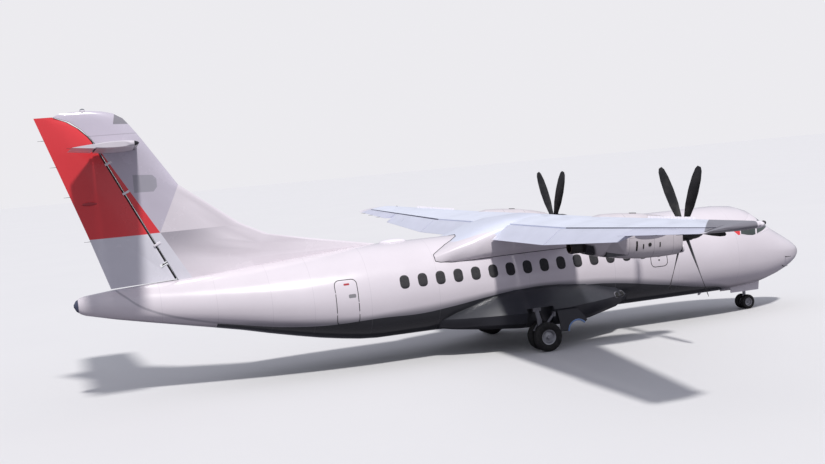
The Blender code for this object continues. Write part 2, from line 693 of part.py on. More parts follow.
def hinge_frame(item, z):
    """Turn and move an object from hinge axes (forward, left, along the hinge) to its place."""
    across = Vector((0, 1, 0))
    turn = Matrix((across.cross(HINGE_AXIS), across, HINGE_AXIS)).transposed()
    item.data.transform(turn.to_4x4())
    item.location = place(hinge_station(z), 0, z)
    return item


def make_rudder():
    heights = (2.99, 4.30, 5.49, 6.20, *[z for z, _ in RUDDER_CROWN])
    rings = [rudder_ring(z) for z in heights]
    for point in rings[0]:
        point.z = smooth(FUSELAGE, NOSE_X - point.x, 2) + RUDDER_FOOT
    rudder = loft("rudder", rings, RED)
    notch = box("rudder_notch_low", (-BRACKET_NOTCH[0], -0.3, -BRACKET_NOTCH[1]), (0.4, 0.3, BRACKET_NOTCH[1]))
    cut(rudder, hinge_frame(notch, BRACKET_Z))
    pin = rod("rudder_pin", (0, 0, BRACKET_NOTCH[1] + 0.04), (0, 0, BRACKET_HALF + RUNNING), PIN * 1.5, steps=12)
    join(rudder, hinge_frame(pin, BRACKET_Z))
    pivot(rudder, place(hinge_station(BRACKET_Z), 0, BRACKET_Z))


def fin_ring(z):
    lead = straight(FIN, z, 1)
    half = straight(FIN, z, 2)
    if z < FIN_CROWN[0][0]:
        aft = rudder_front(z) - hinge_station(z)
        rear = rudder_front(z) - rudder_nose(z) - RUDDER_GAP - CROWN_GAP * max(0.0, aft)
    else:
        rear = straight(FIN_CROWN, z, 1)
    front_s, front_z, lean = FIN_FRONT
    main_lead = min(max(lead, front_s - lean * (front_z - z)), rear - 0.5)
    ring = []
    for share in FIN_SHARES:
        s = lead + share * (rear - lead)
        strake = half * STRAKE * min(1.0, math.sqrt(share / 0.05))
        reach = (s - main_lead) / (rear - main_lead)
        body = half * math.sqrt(max(0.0, 1 - (1 - min(1.0, max(0.0, reach) / FIN_THICKEST)) ** 2))
        if reach > FIN_THICKEST:
            body *= 1 - (1 - FIN_REAR) * (reach - FIN_THICKEST) / (1 - FIN_THICKEST)
        ring.append((s, max(strake, body)))
    upper = [place(s, y, z) for s, y in ring]
    lower = [place(s, -y, z) for s, y in reversed(ring)]
    return upper + [place(lead, 0, z)] + lower


def make_fin():
    fin = loft("fin", [fin_ring(row[0]) for row in FIN], WHITE)
    cut(fin, fuselage_tool("fin_foot", -SEAT, 12.0, 22.0))
    plate = box("rudder_bracket", (-0.04, -0.03, -BRACKET_HALF), (0.20, 0.03, BRACKET_HALF))
    join(fin, hinge_frame(plate, BRACKET_Z))
    return fin


def tail_point(y, share, side, grow=0.0):
    lead, chord = straight(TAILPLANE, abs(y), 1), straight(TAILPLANE, abs(y), 2)
    rise = side * (half_thickness(share, TAILPLANE_THICK) * chord + grow)
    return place(lead + share * chord - (grow if share == 0 else 0), y, TAILPLANE_Z + rise)


def tail_ring(y, rear=TAIL_BOX_END, grow=0.0):
    above = [tail_point(y, share, 1, grow) for share in (rear, *SHARES)]
    below = [tail_point(y, share, -1, grow) for share in (*reversed(SHARES), rear)]
    return above + [tail_point(y, 0.0, 0, grow)] + below


def elevator_hinge(y):
    upper, lower = tail_point(y, TAIL_BOX_END + HINGE_BACK, 1), tail_point(y, TAIL_BOX_END + HINGE_BACK, -1)
    radius = (upper.z - lower.z) / 2 * NOSE_SHARE
    return tail_point(y, TAIL_BOX_END, 0) - Vector((radius + NOSE_GAP, 0, 0)), radius


def elevator_ring(y, slant):
    centre, radius = elevator_hinge(y)
    ring = [tail_point(y, share, 1) for share in (1.0, 0.85)]
    for step in range(7):
        angle = math.radians(90 - 30 * step)
        ring.append(centre + radius * Vector((math.cos(angle), 0, math.sin(angle))))
    ring += [tail_point(y, share, -1) for share in (0.85, 1.0)]
    ring[0].z += EDGE_HALF
    ring[-1].z -= EDGE_HALF
    for point in ring:
        point.y += slant * max(0.0, centre.x - point.x)
    return ring


def make_elevator(side, sign):
    flip = Matrix.Diagonal((1, sign, 1))
    rings = [elevator_ring(ELEVATOR_ROOT, ELEVATOR_CUT), elevator_ring(TAIL_SPAN / 2, 0.0)]
    item = loft(f"elevator_{side}", [[flip @ p for p in ring] for ring in rings], WHITE)
    horn = [tail_ring(y, rear=0.90) for y in (HORN_START, TAIL_SPAN / 2 - 0.05)]
    horn.append([tail_point(TAIL_SPAN / 2, 0.45, 0) * 0.25 + p * 0.75 for p in tail_ring(TAIL_SPAN / 2, 0.90)])
    join(item, loft(f"elevator_horn_{side}", [[flip @ p for p in ring] for ring in horn]))
    centre, _ = elevator_hinge(ELEVATOR_ROOT)
    tip = Vector((centre.x, ELEVATOR_BRACKET[1] + RUNNING, centre.z))
    join(item, rod(f"elevator_pin_{side}", flip @ Vector((centre.x, 0.33, centre.z)), flip @ tip, PIN, steps=12))
    pivot(item, flip @ centre)


def make_tail():
    make_rudder()
    fin = make_fin()
    reach = HORN_START - 0.015
    rings = [tail_ring(y) for y in (-reach, 0.0, reach)]
    tailplane = loft("tailplane", rings, WHITE)
    ahead, wide = RUDDER_NOTCH
    notch_x = place(hinge_station(TAILPLANE_Z) - ahead, 0, 0).x
    cut(tailplane, box("rudder_notch", (notch_x - 0.5, -wide, 6.2), (notch_x, wide, 6.9)))
    centre, _ = elevator_hinge(ELEVATOR_ROOT)
    for side, sign in (("left", 1), ("right", -1)):
        ys = sorted(sign * y for y in ELEVATOR_BRACKET)
        low = (centre.x - 0.03, ys[0], TAILPLANE_Z - 0.03)
        high = (centre.x + 0.20, ys[1], TAILPLANE_Z + 0.03)
        join(tailplane, box(f"elevator_bracket_{side}", low, high))
        make_elevator(side, sign)
    slot = loft("tailplane_slot", [tail_ring(y, rear=0.80, grow=SEAT) for y in (-0.5, 0.0, 0.5)])
    cut(fin, slot)


# Engines

def nacelle_ring(station, half, top, bottom, y0):
    middle, tall = (top + bottom) / 2, (top - bottom) / 2
    ring = []
    for k in range(BODY_STEPS):
        angle = 2 * math.pi * k / BODY_STEPS
        across, up = math.cos(angle), math.sin(angle)
        power = 2 / NACELLE_LOBE
        ring.append(place(station, y0 + half * math.copysign(abs(across) ** power, across),
                          middle + tall * math.copysign(abs(up) ** power, up)))
    return ring


def blade_ring(share, chord, ratio, pitch):
    """One blade section, for a blade that points up."""
    angle = math.radians(pitch)
    lead = Vector((math.sin(angle), -math.cos(angle), 0))
    face = Vector((math.cos(angle), math.sin(angle), 0))
    ring = []
    for along, out in ((-0.5, 0.04), (-0.1, 0.48), (0.3, 0.40), (0.5, 0.0), (0.3, -0.40), (-0.1, -0.48),
                       (-0.5, -0.04)):
        ring.append(lead * along * chord + face * out * chord * ratio + Vector((0, 0, share * PROP_RADIUS)))
    return ring


def make_propeller(side, sign):
    hub = place(PROP_STATION, sign * ENGINE_Y, HUB_Z)
    profile = ((0, HUB_HALF - SEAT), (HUB_RADIUS - 0.02, HUB_HALF - SEAT), (HUB_RADIUS, HUB_HALF - 0.03),
               (HUB_RADIUS, -HUB_HALF + 0.03), (HUB_RADIUS - 0.02, -HUB_HALF), (0, -HUB_HALF))
    propeller = turned(f"propeller_{side}", profile, hub, (1, 0, 0), BLACK)
    for k in range(BLADES):
        blade = loft(f"blade_{side}_{k}", [blade_ring(*row) for row in BLADE])
        blade.data.transform(Matrix.Rotation(2 * math.pi * (k + 0.5) / BLADES, 4, "X"))
        blade.location = hub
        join(propeller, blade)
    length, base = SPINNER_LENGTH, HUB_RADIUS - 0.02
    dome = [(base * math.cos(math.radians(a)) ** 0.8, length * math.sin(math.radians(a)))
            for a in (75, 60, 45, 30, 15)]
    turned(f"spinner_{side}", ((0, length), *dome, (base, 0.0), (0, 0.0)),
           hub + Vector((HUB_HALF, 0, 0)), (1, 0, 0), BLACK)


def make_nacelle(side, sign):
    y0 = sign * ENGINE_Y
    rings = [nacelle_ring(*row, y0) for row in NACELLE]
    nacelle = loft(f"nacelle_{side}", rings, WHITE)
    cut(nacelle, loft(f"nacelle_wing_slot_{side}", [wing_ring(y0 + step, rear=0.9, grow=SEAT)
                                                  for step in (-0.7, 0.7)]))
    front, rear, half, bottom, top = ENGINE
    cut(nacelle, box(f"engine_bay_{side}", (NOSE_X - rear - BAY_GAP, y0 - half - BAY_GAP, bottom - SEAT),
                     (NOSE_X - front + BAY_GAP, y0 + half + BAY_GAP, top + BAY_GAP)))
    cut(nacelle, rod(f"shaft_hole_{side}", place(6.60, y0, HUB_Z), place(7.10, y0, HUB_Z), SHAFT_HOLE))
    i_front, i_rear, i_half, i_bottom, i_top = INTAKE
    cut(nacelle, box(f"intake_{side}", (NOSE_X - i_rear, y0 - i_half, i_bottom),
                     (NOSE_X - i_front, y0 + i_half, i_top)))
    engine = box(f"engine_{side}", (NOSE_X - rear, y0 - half, bottom), (NOSE_X - front, y0 + half, top), CAST)
    join(engine, rod(f"engine_shaft_{side}", place(front + 0.1, y0, HUB_Z - 0.001),
                     place(PROP_STATION + HUB_HALF + RUNNING, y0, HUB_Z - 0.001), SHAFT, end_radius=SHAFT))
    e_front, e_rear, e_z, outer, inner = EXHAUST
    pipe = rod(f"exhaust_{side}", place(e_front + SEAT, y0, e_z), place(e_rear, y0, e_z), outer, HOT,
               end_radius=outer * 0.95, steps=20)
    cut(pipe, rod(f"exhaust_bore_{side}", place(e_front + 0.03, y0, e_z), place(e_rear + 0.05, y0, e_z),
                  inner, steps=20))


# Belly and landing gear

def fairing_ring(station, half, shoulder, top, bottom):
    rise, drop = top - shoulder, shoulder - bottom
    side = ((0.50 * half, bottom), (0.80 * half, bottom + 0.10 * drop), (0.95 * half, bottom + 0.42 * drop),
            (half, shoulder), (0.91 * half, shoulder + 0.32 * rise), (0.77 * half, shoulder + 0.72 * rise),
            (0.58 * half, top))
    left = [place(station, y, z) for y, z in side]
    right = [place(station, -y, z) for y, z in reversed(side)]
    return left + right


def make_gear_fairing():
    fairing = loft("gear_fairing", [fairing_ring(*row) for row in GEAR_FAIRING], DARK)
    cut(fairing, fuselage_tool("belly_seat", -SEAT, 6.0, 13.2))
    front, rear, inner, outer, low, roof = MAIN_BAY
    for side, sign in (("left", 1), ("right", -1)):
        ys = sorted((sign * inner, sign * outer))
        cut(fairing, box(f"main_bay_{side}", (NOSE_X - rear, ys[0], low), (NOSE_X - front, ys[1], roof)))
        for station in MAIN_DOOR_LUGS:
            ys = sorted((sign * 1.90, sign * GEAR_FAIRING[4][1]))
            join(fairing, box(f"door_lug_{side}_{round(station * 100)}", (NOSE_X - station - 0.04, ys[0], 0.98),
                              (NOSE_X - station + 0.04, ys[1], 1.04)))
    for k, (station, y) in enumerate(JACK_PADS[1:]):
        join(fairing, rod(f"jack_pad_{k}", place(station, y, 0.62), place(station, y, 0.52), JACK_PAD))


def wheel_pair(name, wheel, y0):
    """Two rims on one axle, and a tyre on each rim."""
    station, radius, width, spacing, rim, axle = wheel
    centre = place(station, y0, radius)
    rims = turned(f"{name}_rims", rim_profile(rim, width, spacing, axle), centre, (0, 1, 0), RIM)
    for label, step in (("left", spacing / 2), ("right", -spacing / 2)):
        half, shoulder = width / 2, 0.25 * width
        inner = rim + SEAT
        bulge = inner + 0.45 * (radius - inner)
        profile = ((inner, half * 0.72), (bulge, half), (radius - shoulder * 0.35, half * 0.72),
                   (radius, half * 0.30), (radius, -half * 0.30), (radius - shoulder * 0.35, -half * 0.72),
                   (bulge, -half), (inner, -half * 0.72))
        turned(f"{name}_tyre_{label}", profile, centre + Vector((0, step, 0)), (0, 1, 0), TYRE)
    return rims


def rim_profile(rim, width, spacing, axle):
    """Both rims and the axle as one turned outline, from the left end to the right."""
    half = spacing / 2
    flange = width * 0.36
    left = [(0, half + flange * 0.50), (rim * 0.35, half + flange * 0.50), (rim * 0.55, half + flange * 0.15),
            (rim * 0.86, half + flange), (rim, half + flange), (rim, half - flange),
            (axle * 1.5, half - flange * 0.60), (axle, half - flange * 1.02)]
    return left + [(radius, -along) for radius, along in reversed(left)]


def make_main_gear(side, sign):
    station, radius, width, spacing, _, axle = MAIN_WHEEL
    y0 = sign * TRACK / 2
    roof = MAIN_BAY[5]
    hub_half = 0.055
    leg = rod(f"main_leg_{side}", place(station + 0.12, y0, 0.90), place(station + 0.12, y0, 0.66), 0.07, STEEL,
              steps=16)
    join(leg, rod(f"leg_strut_{side}", place(station + 0.12, sign * LEG_TOP_Y, roof - 0.04),
                  place(station + 0.12, y0, 0.87), 0.065, steps=14))
    trunnion = place(station + 0.12, sign * LEG_TOP_Y, roof - SEAT)
    join(leg, box(f"leg_trunnion_{side}", trunnion - Vector((0.12, 0.08, 0.10)), trunnion + Vector((0.12, 0.08, 0))))
    join(leg, rod(f"leg_piston_{side}", place(station + 0.12, y0, 0.75), place(station + 0.03, y0, 0.47), 0.055,
                  steps=18))
    join(leg, rod(f"leg_hub_{side}", place(station, y0 - hub_half, radius), place(station, y0 + hub_half, radius),
                  0.09, steps=20))
    brace_end = place(MAIN_BAY[0] + SEAT, y0, 0.98)
    join(leg, box(f"leg_foot_{side}", brace_end - Vector((0.06, 0.06, 0.06)), brace_end + Vector((0, 0.06, 0.06))))
    join(leg, rod(f"leg_brace_{side}", place(station + 0.06, y0, 0.58), brace_end - Vector((0.03, 0, 0)), 0.035,
                  steps=14))
    cut(leg, rod(f"leg_bore_{side}", place(station, y0 - 0.2, radius), place(station, y0 + 0.2, radius),
                 axle + BORE_GAP, steps=WHEEL_STEPS))
    wheel_pair(f"main_{side}", MAIN_WHEEL, y0)
    make_main_door(side, sign)


def make_main_door(side, sign):
    """A hanging panel with the round cut-out that fits the stowed wheel."""
    arc_s, arc_z, arc_r = MAIN_DOOR_ARC
    outline = [(9.44, 1.06), (8.80, 1.06), (8.62, 0.84), (8.53, 0.70)]
    for step in range(8):
        angle = math.radians(140 - 20 * step)
        outline.append((arc_s + arc_r * math.cos(angle), arc_z + arc_r * math.sin(angle)))
    outline += [(9.12, 0.46), (9.36, 0.46), (9.38, 0.80)]
    near = GEAR_FAIRING[4][1] + SEAT
    prism(f"main_gear_door_{side}", outline, sign * near, sign * (near + MAIN_DOOR_THICK), DARK)


def make_nose_gear():
    station, radius, width, spacing, _, axle = NOSE_WHEEL
    roof = NOSE_BAY[4]
    collar = 0.62
    leg = rod("nose_leg", place(station, 0, roof - SEAT), place(station, 0, collar), 0.065, STEEL)
    join(leg, rod("nose_leg_collar", place(station, 0, 0.72), place(station, 0, collar), 0.08))
    join(leg, rod("nose_drag_brace", place(station, 0, 0.76), place(2.62, 0, roof - 0.05), 0.03, steps=12))
    join(leg, box("nose_brace_foot", place(2.66, -0.05, roof - 0.10), place(2.58, 0.05, roof - SEAT)))
    fork = rod("nose_fork", place(station, 0, collar - 0.02), place(station, 0, radius), 0.05, STEEL, steps=16)
    join(fork, rod("nose_fork_hub", place(station, -0.045, radius), place(station, 0.045, radius), 0.058, steps=18))
    join(fork, rod("nose_fork_collar", place(station, 0, collar - RUNNING), place(station, 0, 0.56), 0.075,
                   steps=20))
    join(fork, box("tow_lug", place(station, -0.035, radius - 0.03), place(station - 0.09, 0.035, radius + 0.03)))
    cut(fork, rod("nose_bore", place(station, -0.2, radius), place(station, 0.2, radius), axle + BORE_GAP,
                  steps=WHEEL_STEPS))
    wheel_pair("nose", NOSE_WHEEL, 0.0)
    front, rear, low, high, thick = NOSE_DOOR
    for side, sign in (("left", 1), ("right", -1)):
        face = NOSE_BAY[2] - SEAT
        prism(f"nose_gear_door_{side}", ((front, high), (rear, high), (rear - 0.03, low), (front + 0.05, low)),
              sign * (face - thick), sign * face, WHITE)


def make_airliner():
    sections = make_fuselage()
    make_doors(sections)
    make_glazing(sections["nose"])
    front, rear, half, low, roof = NOSE_BAY
    cut(sections["nose"], box("nose_bay", (NOSE_X - rear, -half, low), (NOSE_X - front, half, roof)))
    station, y = JACK_PADS[0]
    pad = rod("jack_pad_nose", place(station, y, 0.80), place(station, y, 0.69), JACK_PAD)
    join(sections["forward_fuselage"], pad)
    make_wing()
    make_root_fairing()
    make_tail()
    make_gear_fairing()
    for side, sign in (("left", 1), ("right", -1)):
        make_propeller(side, sign)
        make_nacelle(side, sign)
        make_main_gear(side, sign)
    make_nose_gear()


make_airliner()
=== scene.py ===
"""A high-wing regional turboprop airliner parked in a pale studio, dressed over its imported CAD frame.

Metres, in the frame of the CAD part: +X to the nose, +Y to the left wing tip, +Z up, tyres on Z = 0.
A station is the distance aft of the nose tip, so x = NOSE_X - station.
"""

import json
import math

import bpy
import bmesh
from mathutils import Matrix, Vector


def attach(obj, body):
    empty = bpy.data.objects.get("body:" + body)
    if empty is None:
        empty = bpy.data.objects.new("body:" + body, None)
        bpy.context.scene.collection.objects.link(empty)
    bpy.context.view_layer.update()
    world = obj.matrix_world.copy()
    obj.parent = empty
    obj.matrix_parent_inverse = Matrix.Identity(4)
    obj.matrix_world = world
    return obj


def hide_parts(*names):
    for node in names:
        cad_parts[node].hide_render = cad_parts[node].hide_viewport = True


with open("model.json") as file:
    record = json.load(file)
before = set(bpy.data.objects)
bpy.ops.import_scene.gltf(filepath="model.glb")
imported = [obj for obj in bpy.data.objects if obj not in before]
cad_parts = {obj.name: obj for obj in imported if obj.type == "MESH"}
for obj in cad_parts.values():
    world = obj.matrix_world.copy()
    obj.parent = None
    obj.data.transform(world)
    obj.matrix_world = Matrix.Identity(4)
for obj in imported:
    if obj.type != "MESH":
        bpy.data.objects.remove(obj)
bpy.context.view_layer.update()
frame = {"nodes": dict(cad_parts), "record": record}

LENGTH = 22.67
NOSE_X = LENGTH / 2
HEIGHT_RANGE = 4.0              # heights are fed to the livery curves as shares of this
AROUND = 32                     # facets round the fuselage, as in the CAD
LOWER_LOBE = 2.4                # superellipse power of its flattened lower half
SIDES = (("left", 1), ("right", -1))

# Camera: its place, then azimuth, look-down and roll in degrees
CAMERA_PLACE = (-11.387, -30.867, 5.620)
CAMERA_TURN = (-17.87, 3.67, -5.07)
CAMERA_LENS = 49.76
KEY_HEIGHT = 55.0               # the key stands this many degrees above the right wing's side
KEY_POWER = 2.75
KEY_SPREAD = 5.0                # degrees
KEY_COLOUR = (1.0, 0.985, 0.97)
SKY_POWER = 0.58
SKY_POWER_SEEN = 0.92           # as the camera sees it

# Fuselage skin: station, half width, crown height, keel height, height where it is widest
FUSELAGE = (
    (0.00, 0.035, 1.67, 1.59, 1.63), (0.06, 0.180, 1.79, 1.49, 1.64), (0.24, 0.375, 1.94, 1.34, 1.66),
    (0.70, 0.700, 2.24, 1.13, 1.71), (1.10, 0.905, 2.48, 0.99, 1.75), (1.50, 1.065, 2.79, 0.885, 1.79),
    (1.93, 1.200, 3.12, 0.79, 1.83), (2.35, 1.290, 3.27, 0.75, 1.87), (3.00, 1.385, 3.33, 0.715, 1.895),
    (4.20, 1.4325, 3.33, 0.71, 1.90), (14.20, 1.4325, 3.33, 0.71, 1.90), (15.20, 1.410, 3.26, 0.82, 1.93),
    (16.85, 1.270, 3.14, 1.15, 2.03), (17.90, 1.090, 3.07, 1.41, 2.12), (19.50, 0.740, 2.965, 1.75, 2.27),
    (21.15, 0.360, 2.88, 2.10, 2.46), (21.90, 0.230, 2.80, 2.29, 2.54), (22.12, 0.120, 2.70, 2.42, 2.56),
    (22.18, 0.030, 2.60, 2.54, 2.57),
)
SKIN_STATIONS = (
    0.0, 0.03, 0.09, 0.24, 0.45, 0.75, 1.10, 1.50, 1.93, 2.35, 3.00, 3.60, 4.20, 7.20, 12.60, 14.20, 14.70,
    15.20, 15.80, 16.50, 17.20, 17.90, 18.70, 19.50, 20.30, 21.15, 21.90, 22.00, 22.12, 22.18,
)


# Working helpers

def only(*items):
    """Selects these objects and nothing else; the first is the active one."""
    bpy.ops.object.select_all(action="DESELECT")
    for item in items:
        item.select_set(True)
    bpy.context.view_layer.objects.active = items[0]


def start(name, primitive, **settings):
    """Adds a primitive under its own name, with its place applied and nothing else selected."""
    bpy.ops.object.select_all(action="DESELECT")
    primitive(**settings)
    piece = bpy.context.object
    piece.name = name
    bpy.ops.object.transform_apply()
    return piece


def pick(piece, kind, test):
    """Goes into edit mode and selects the vertices, edges or faces that the test accepts."""
    only(piece)
    bpy.ops.object.mode_set(mode="EDIT")
    bpy.ops.mesh.select_mode(type=kind)
    bpy.ops.mesh.select_all(action="DESELECT")
    mesh = bmesh.from_edit_mesh(piece.data)
    found = {"VERT": mesh.verts, "EDGE": mesh.edges, "FACE": mesh.faces}[kind]
    for part in found:
        part.select = test(part)
    mesh.select_flush_mode()
    bmesh.update_edit_mesh(piece.data)


def done():
    bpy.ops.object.mode_set(mode="OBJECT")


def shape(piece, kind, **settings):
    """Adds a modifier with its settings and applies it."""
    only(piece)
    change = piece.modifiers.new(kind.title(), kind)
    for name, value in settings.items():
        setattr(change, name, value)
    bpy.ops.object.modifier_apply(modifier=change.name)


def tidy(piece, merge=0.0001):
    """Merges doubles and turns the faces outwards."""
    pick(piece, "VERT", lambda part: True)
    bpy.ops.mesh.remove_doubles(threshold=merge)
    bpy.ops.mesh.normals_make_consistent(inside=False)
    done()


def again(piece, name):
    """A copy with its own mesh, free of the parent and the notes of its pattern."""
    twin = piece.copy()
    twin.data = piece.data.copy()
    twin.name = name
    twin.parent = None
    for key in list(twin.keys()):
        del twin[key]
    bpy.context.scene.collection.objects.link(twin)
    return twin


def together(pieces, name):
    """Joins pieces into the first of them, under one name."""
    only(*pieces)
    if len(pieces) > 1:
        bpy.ops.object.join()
    pieces[0].name = name
    return pieces[0]


def spot(station, y, z):
    return Vector((NOSE_X - station, y, z))


def bar(name, foot, head, radius, head_radius=None, steps=16):
    """A round bar between two points, straight or tapered, with rounded rims."""
    foot, head = Vector(foot), Vector(head)
    run = head - foot
    lean = run.to_track_quat("Z", "Y").to_euler()
    narrow = radius if head_radius is None else head_radius
    piece = start(name, bpy.ops.mesh.primitive_cone_add, vertices=steps, radius1=radius, radius2=narrow,
                  depth=run.length, location=(foot + head) / 2, rotation=lean)
    pick(piece, "EDGE", lambda part: any(len(face.verts) > 4 for face in part.link_faces))
    bpy.ops.mesh.bevel(offset=0.15 * min(radius, narrow), segments=2)
    done()
    return piece


def block(name, low, high, round_by):
    """A block between two corners, with every edge rounded."""
    low, high = Vector(low), Vector(high)
    middle = (low + high) / 2
    piece = start(name, bpy.ops.mesh.primitive_cube_add, size=1.0, location=middle, scale=high - low)
    pick(piece, "EDGE", lambda part: True)
    bpy.ops.mesh.bevel(offset=round_by, segments=2)
    done()
    tidy(piece)
    return piece


def dome(name, place, sizes, segments=24, rings=12):
    """A smooth egg-shaped bump."""
    piece = start(name, bpy.ops.mesh.primitive_uv_sphere_add, segments=segments, ring_count=rings, radius=1.0)
    piece.data.transform(Matrix.Translation(place) @ Matrix.Diagonal((*sizes, 1)))
    return piece


def turned(name, profile, centre, axis, steps=64):
    """An outline of (radius, distance along the axis), extruded point by point and spun about the axis."""
    piece = start(name, bpy.ops.mesh.primitive_plane_add, size=1.0)
    pick(piece, "VERT", lambda part: part.index > 0)
    bpy.ops.mesh.delete(type="VERT")
    done()
    piece.data.vertices[0].co = (profile[0][0], 0, profile[0][1])
    pick(piece, "VERT", lambda part: True)
    for (r0, a0), (r1, a1) in zip(profile, profile[1:]):
        bpy.ops.mesh.extrude_vertices_move(TRANSFORM_OT_translate={"value": (r1 - r0, 0, a1 - a0)})
    bpy.ops.mesh.select_all(action="SELECT")
    bpy.ops.mesh.spin(steps=steps, angle=2 * math.pi, center=(0, 0, 0), axis=(0, 0, 1))
    done()
    tidy(piece, 0.00005)
    turn = Vector(axis).to_track_quat("Z", "Y").to_matrix().to_4x4()
    piece.data.transform(Matrix.Translation(centre) @ turn)
    return piece


def tube(name, points, radius):
    """A round tube that bends smoothly through its points."""
    curve = bpy.data.curves.new(name, "CURVE")
    curve.dimensions = "3D"
    curve.bevel_depth = radius
    curve.bevel_resolution = 2
    curve.use_fill_caps = True
    path = curve.splines.new("NURBS")
    path.points.add(len(points) - 1)
    for target, point in zip(path.points, points):
        target.co = (*point, 1.0)
    path.order_u = 3
    path.use_endpoint_u = True
    path.resolution_u = 4
    piece = bpy.data.objects.new(name, curve)
    bpy.context.scene.collection.objects.link(piece)
    only(piece)
    bpy.ops.object.convert(target="MESH")
    return bpy.context.object


def around(piece, name, count, centre, axis):
    """Copies of a piece, evenly spread about an axis and joined with it."""
    items = [piece]
    for k in range(1, count):
        swing = Matrix.Rotation(2 * math.pi * k / count, 4, Vector(axis))
        twin = again(piece, f"{name}_{k}")
        twin.data.transform(Matrix.Translation(centre) @ swing @ Matrix.Translation(-Vector(centre)))
        items.append(twin)
    return together(items, name)


def seen_from(target, station, y, z, way):
    """Where a line from a point first meets a skin, and which way the skin faces there."""
    _, place, out, _ = target.ray_cast(spot(station, y, z), Vector(way))
    return place, out


def finish(piece, body, slot, *looks, smooth=35):
    """Puts on the materials, shades the piece and hangs it on its body."""
    keep = [face.material_index for face in piece.data.polygons]
    piece.data.materials.clear()
    for look in looks:
        piece.data.materials.append(look)
    for face, index in zip(piece.data.polygons, keep):
        face.material_index = min(index, len(looks) - 1)
    only(piece)
    bpy.ops.object.shade_smooth_by_angle(angle=math.radians(smooth))
    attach(piece, body)
    return piece


def dress(node, look, slot, smooth=32):
    """A merged and smoothly shaded copy of a CAD node that stands for it."""
    piece = again(frame["nodes"][node], node + "_skin")
    only(piece)
    if piece.data.has_custom_normals:
        bpy.ops.mesh.customdata_custom_splitnormals_clear()
    pick(piece, "VERT", lambda part: True)
    bpy.ops.mesh.remove_doubles(threshold=0.00002)
    done()
    body = next(name for name, nodes in frame["record"]["behaviour"]["bodies"].items() if node in nodes)
    finish(piece, body, slot, look, smooth=smooth)
    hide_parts(node)
    skins[node] = piece
    return piece


def read(table, value, column):
    """Reads one column of a table at a value of its first column, without overshoot."""
    rows = [(row[0], row[column]) for row in table]
    if value <= rows[0][0]:
        return rows[0][1]
    if value >= rows[-1][0]:
        return rows[-1][1]
    slopes = [(b[1] - a[1]) / (b[0] - a[0]) for a, b in zip(rows, rows[1:])]
    here = max(k for k in range(len(rows) - 1) if rows[k][0] <= value)
    wide = rows[here + 1][0] - rows[here][0]

    def tangent(k):
        if k == 0 or k == len(rows) - 1:
            return slopes[min(k, len(slopes) - 1)]
        before, after = slopes[k - 1], slopes[k]
        return 0.0 if before * after <= 0 else 2 * before * after / (before + after)

    t = (value - rows[here][0]) / wide
    first, last = rows[here][1], rows[here + 1][1]
    return ((2 * t**3 - 3 * t**2 + 1) * first + (t**3 - 2 * t**2 + t) * wide * tangent(here)
            + (3 * t**2 - 2 * t**3) * last + (t**3 - t**2) * wide * tangent(here + 1))


def fuselage_ring(station):
    half, crown, keel, wide_z = (read(FUSELAGE, station, column) for column in (1, 2, 3, 4))
    ring = []
    for k in range(AROUND):
        angle = 2 * math.pi * k / AROUND
        across, up = math.cos(angle), math.sin(angle)
        if up >= 0:
            ring.append((NOSE_X - station, half * across, wide_z + (crown - wide_z) * up))
        else:
            power = 2 / LOWER_LOBE
            ring.append((NOSE_X - station, half * math.copysign(abs(across) ** power, across),
                         wide_z - (wide_z - keel) * abs(up) ** power))
    return ring


def fuselage_form():
    """The bare skin without openings: flat work is laid on it, and the sections are shaded from it."""
    points = [point for station in SKIN_STATIONS for point in fuselage_ring(station)]
    faces = []
    for row in range(len(SKIN_STATIONS) - 1):
        for k in range(AROUND):
            after = (k + 1) % AROUND
            a, b = row * AROUND + k, row * AROUND + after
            faces.append((b + AROUND, b, a))
            faces.append((a + AROUND, b + AROUND, a))
    mesh = bpy.data.meshes.new("fuselage_form")
    mesh.from_pydata(points, [], faces)
    form = bpy.data.objects.new("fuselage_form", mesh)
    bpy.context.scene.collection.objects.link(form)
    mesh.shade_smooth()
    return form


def even_shading(piece, form):
    """Takes the shading of the bare form, so that cut-outs leave no streaks on the curved skin."""
    only(piece)
    outer = piece.vertex_groups.new(name="outer_skin")
    depth = 0.004
    chosen = []
    for vertex in piece.data.vertices:
        hit, place, _, _ = form.closest_point_on_mesh(vertex.co)
        if hit and (place - vertex.co).length < depth:
            chosen.append(vertex.index)
    outer.add(chosen, 1.0, "REPLACE")
    shape(piece, "DATA_TRANSFER", object=form, use_loop_data=True, data_types_loops={"CUSTOM_NORMAL"},
          loop_mapping="POLYINTERP_NEAREST", vertex_group="outer_skin")


# Materials

def linear(colour):
    """Turns an sRGB hex value to linear light."""
    parts = [int(colour[k:k + 2], 16) / 255 for k in (0, 2, 4)]
    return tuple(c / 12.92 if c <= 0.04045 else ((c + 0.055) / 1.055) ** 2.4 for c in parts) + (1.0,)


def node(tree, kind, feeds=None, **settings):
    """Adds a node with its settings; feeds are sockets to link or values to set on its inputs."""
    made = tree.nodes.new("ShaderNode" + kind)
    for name, value in settings.items():
        setattr(made, name, value)
    for key, value in (feeds or {}).items():
        if isinstance(value, bpy.types.NodeSocket):
            tree.links.new(value, made.inputs[key])
        else:
            made.inputs[key].default_value = value
    return made


def finish_named(name, roughness, metallic=0.0, **values):
    """A new material with its shader; constants go on the shader's own sockets."""
    look = bpy.data.materials.new(name)
    look.use_nodes = True
    shader = look.node_tree.nodes["Principled BSDF"]
    shader.inputs["Roughness"].default_value = roughness
    shader.inputs["Metallic"].default_value = metallic
    for key, value in values.items():
        shader.inputs[key.replace("_", " ")].default_value = value
    return look, look.node_tree, shader


